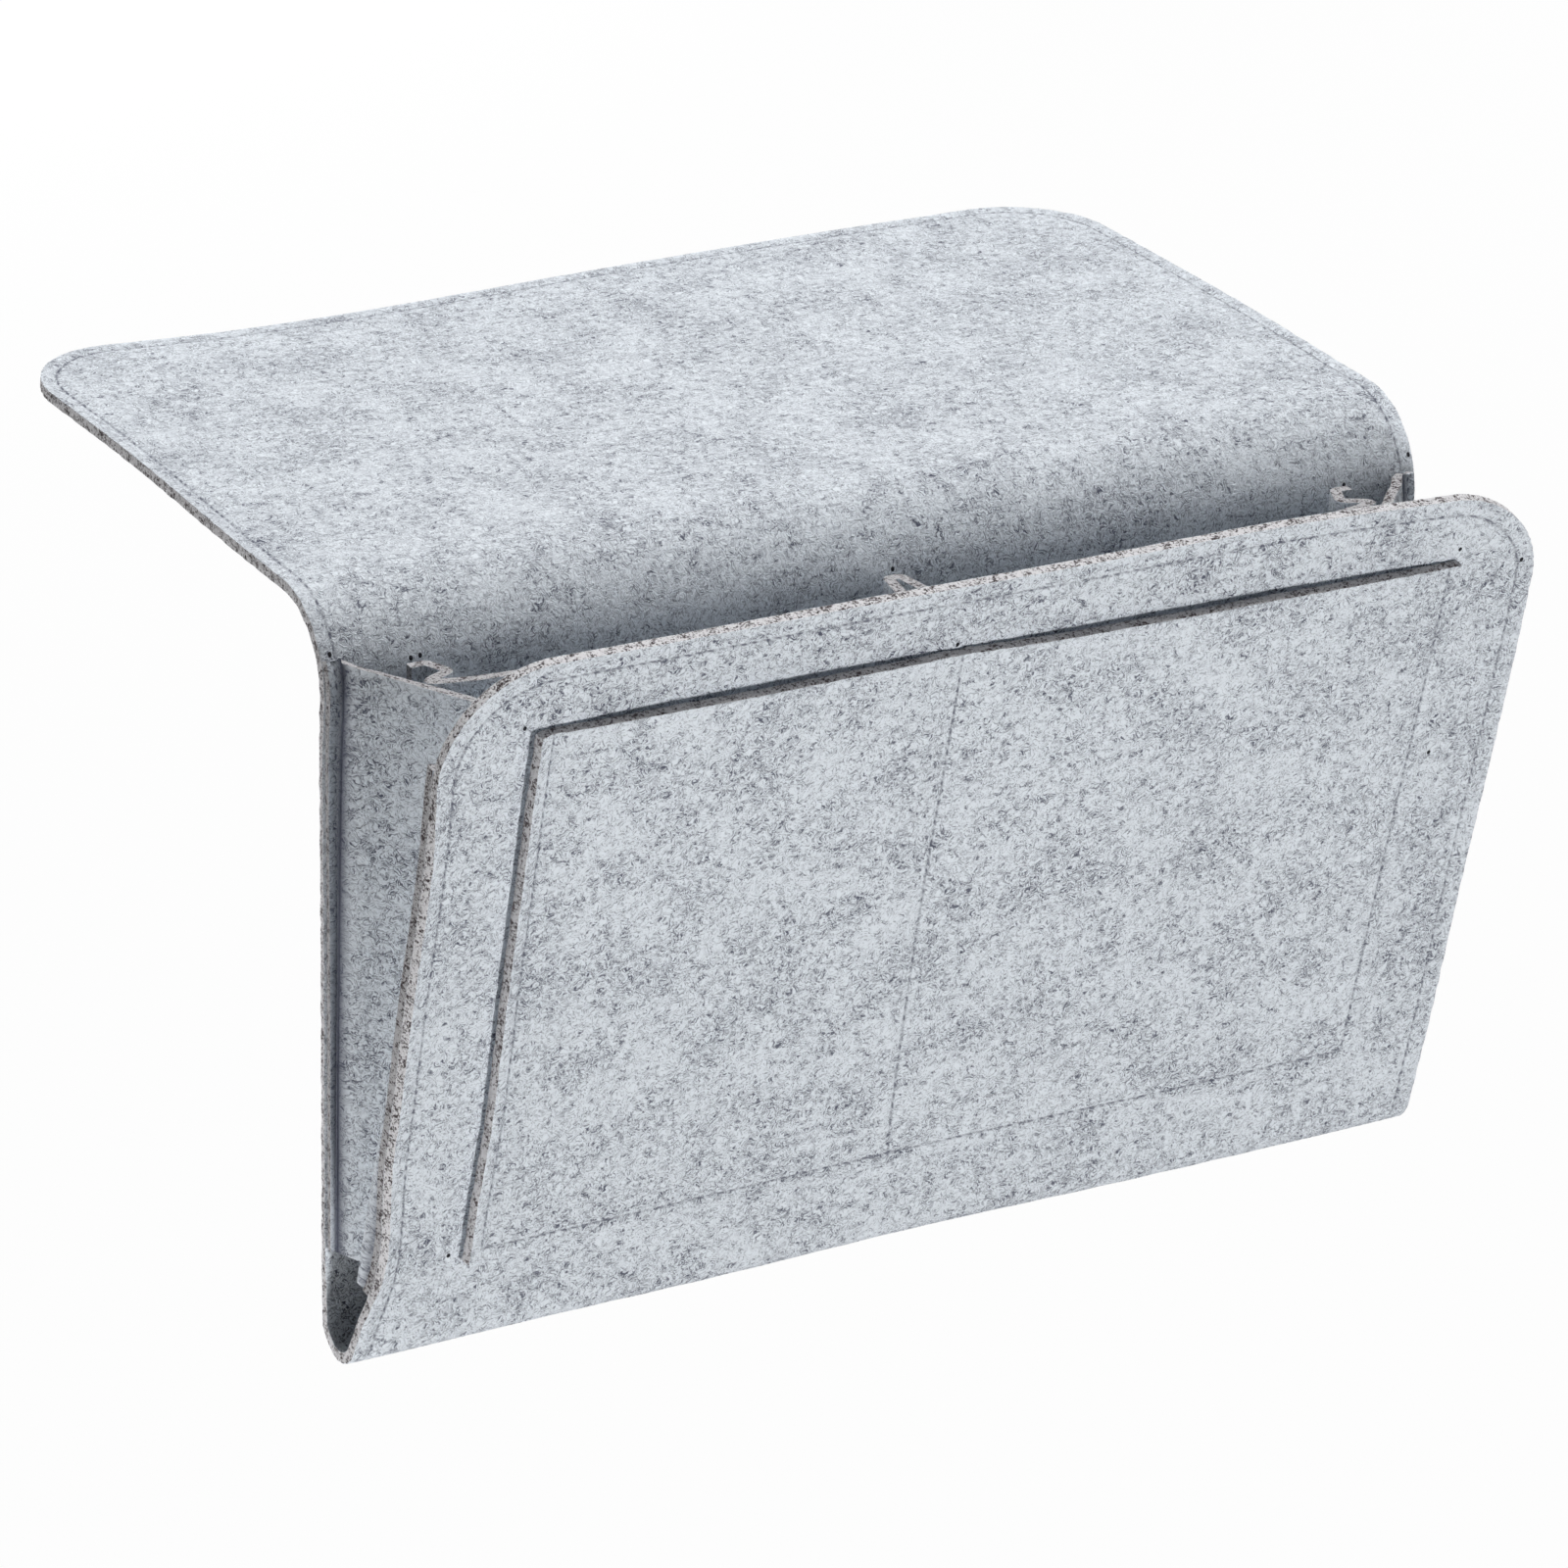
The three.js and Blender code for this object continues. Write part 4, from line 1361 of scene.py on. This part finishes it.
# Floor: its height, its size and the share of white that the camera sees on it; world: its light on the object
FLOOR_HEIGHT = -0.45
FLOOR_SIZE = 12
FLOOR_WHITE = 0.97
WORLD_LIGHT = 0.035
# Lamps: name, place, the point each is turned to, width, height and power
LAMPS = (
    ("top_light", (0.1, 0.22, 1.95), (0, -0.1, -0.08), 0.75, 0.75, 38.5),
    ("front_light", (0.1, -1.95, -0.21), (0, -0.1, -0.1), 0.22, 0.42, 18.5),
    ("low_light", (-0.62, -0.105, -0.345), (-0.15, -0.12, -0.17), 0.1, 0.25, 1.5),
    ("back_light", (0.2, 1.85, -0.18), (0, -0.1, -0.12), 1.3, 0.5, 20.0),
    ("side_light", (1.8, 0.85, -0.18), (0, -0.1, -0.12), 1.3, 0.5, 16.0),
)


def seen_directly(graph):
    """1 for the camera and for what shows in gloss or glass, and 0 for the light that falls on the object."""
    path = graph.add("LightPath").outputs
    seen = graph.math("MAXIMUM", path["Is Camera Ray"], path["Is Glossy Ray"])
    return graph.math("MAXIMUM", seen, path["Is Transmission Ray"])


class CADDY_OT_stage(bpy.types.Operator):
    """Sets the floor, the soft light and the camera"""

    bl_idname = "caddy.stage"
    bl_label = "Stage"

    def execute(self, context):
        scene = context.scene
        scene.view_settings.view_transform = "Standard"
        start_fresh()
        bpy.ops.mesh.primitive_plane_add(size=FLOOR_SIZE, location=(0, 0, FLOOR_HEIGHT))
        floor = context.object
        floor.name = "floor"
        material = bpy.data.materials.new("pale_floor")
        material.use_nodes = True
        graph = Graph(material.node_tree)
        share = graph.math("MULTIPLY", seen_directly(graph), FLOOR_WHITE)
        matt = graph.add("BsdfPrincipled", {"Base Color": (0.4, 0.4, 0.4, 1), "Roughness": 0.95})
        glow = graph.add("Emission", {"Color": (1, 1, 1, 1), "Strength": 1.0})
        both = graph.add("MixShader", {0: share, 1: matt.outputs[0], 2: glow.outputs[0]})
        graph.add("OutputMaterial", {0: both.outputs[0]})
        dress(floor, "pale_floor")

        world = bpy.data.worlds.new("soft_daylight")
        scene.world = world
        world.use_nodes = True
        graph = Graph(world.node_tree)
        seen = seen_directly(graph)
        light = graph.add("Background", {0: (1, 1, 1, 1), 1: WORLD_LIGHT})
        white = graph.add("Background", {0: (1, 1, 1, 1), 1: 1.0})
        both = graph.add("MixShader", {0: seen, 1: light.outputs[0], 2: white.outputs[0]})
        graph.add("OutputWorld", {0: both.outputs[0]})

        for name, place, aim, width, height, power in LAMPS:
            lamp = bpy.data.lights.new(name, "AREA")
            lamp.shape = "RECTANGLE"
            lamp.size = width
            lamp.size_y = height
            lamp.energy = power
            light_object = bpy.data.objects.new(name, lamp)
            light_object.location = place
            toward = Vector(aim) - Vector(place)
            light_object.rotation_euler = toward.to_track_quat("-Z", "Y").to_euler()
            scene.collection.objects.link(light_object)

        camera = bpy.data.cameras.new("camera")
        camera.lens = FOCAL_LENGTH
        camera.sensor_width = SENSOR_WIDTH
        camera.clip_start = 0.05
        holder = bpy.data.objects.new("camera", camera)
        ahead = (AIM - EYE).normalized()
        right = ahead.cross(Vector((0, 0, 1))).normalized()
        above = right.cross(ahead)
        turned_right = right * math.cos(FRAME_TILT) + above * math.sin(FRAME_TILT)
        turned_up = above * math.cos(FRAME_TILT) - right * math.sin(FRAME_TILT)
        columns = Matrix((turned_right, turned_up, -ahead)).transposed().to_4x4()
        holder.matrix_world = Matrix.Translation(EYE) @ columns
        scene.collection.objects.link(holder)
        scene.camera = holder
        return {"FINISHED"}


PIECES = (
    CADDY_OT_materials,
    CADDY_OT_main_sheet,
    CADDY_OT_side_pleats,
    CADDY_OT_patch_pocket,
    CADDY_OT_inner_pouch,
    CADDY_OT_stitching,
    CADDY_OT_marks,
    CADDY_OT_stage,
)


class CADDY_PT_panel(bpy.types.Panel):
    """Lists the caddy's pieces, sizes and colours"""

    bl_label = "Felt caddy"
    bl_idname = "CADDY_PT_panel"
    bl_space_type = "VIEW_3D"
    bl_region_type = "UI"
    bl_category = "Caddy"

    def draw(self, context):
        layout = self.layout
        for operator in PIECES:
            layout.operator(operator.bl_idname)
        for group in (context.scene.caddy_sizes, context.scene.caddy_colours):
            for name in group.__annotations__:
                layout.prop(group, name)


CLASSES = (CaddySizes, CaddyColours, *PIECES, CADDY_PT_panel)


def register():
    for item in CLASSES:
        bpy.utils.register_class(item)
    bpy.types.Scene.caddy_sizes = PointerProperty(type=CaddySizes)
    bpy.types.Scene.caddy_colours = PointerProperty(type=CaddyColours)


def unregister():
    del bpy.types.Scene.caddy_colours
    del bpy.types.Scene.caddy_sizes
    for item in reversed(CLASSES):
        bpy.utils.unregister_class(item)


def main():
    register()
    bpy.ops.caddy.materials()
    bpy.ops.caddy.main_sheet()
    bpy.ops.caddy.side_pleats()
    bpy.ops.caddy.patch_pocket()
    bpy.ops.caddy.inner_pouch()
    bpy.ops.caddy.stitching()
    bpy.ops.caddy.marks()
    bpy.ops.caddy.stage()


if __name__ == "__main__":
    main()
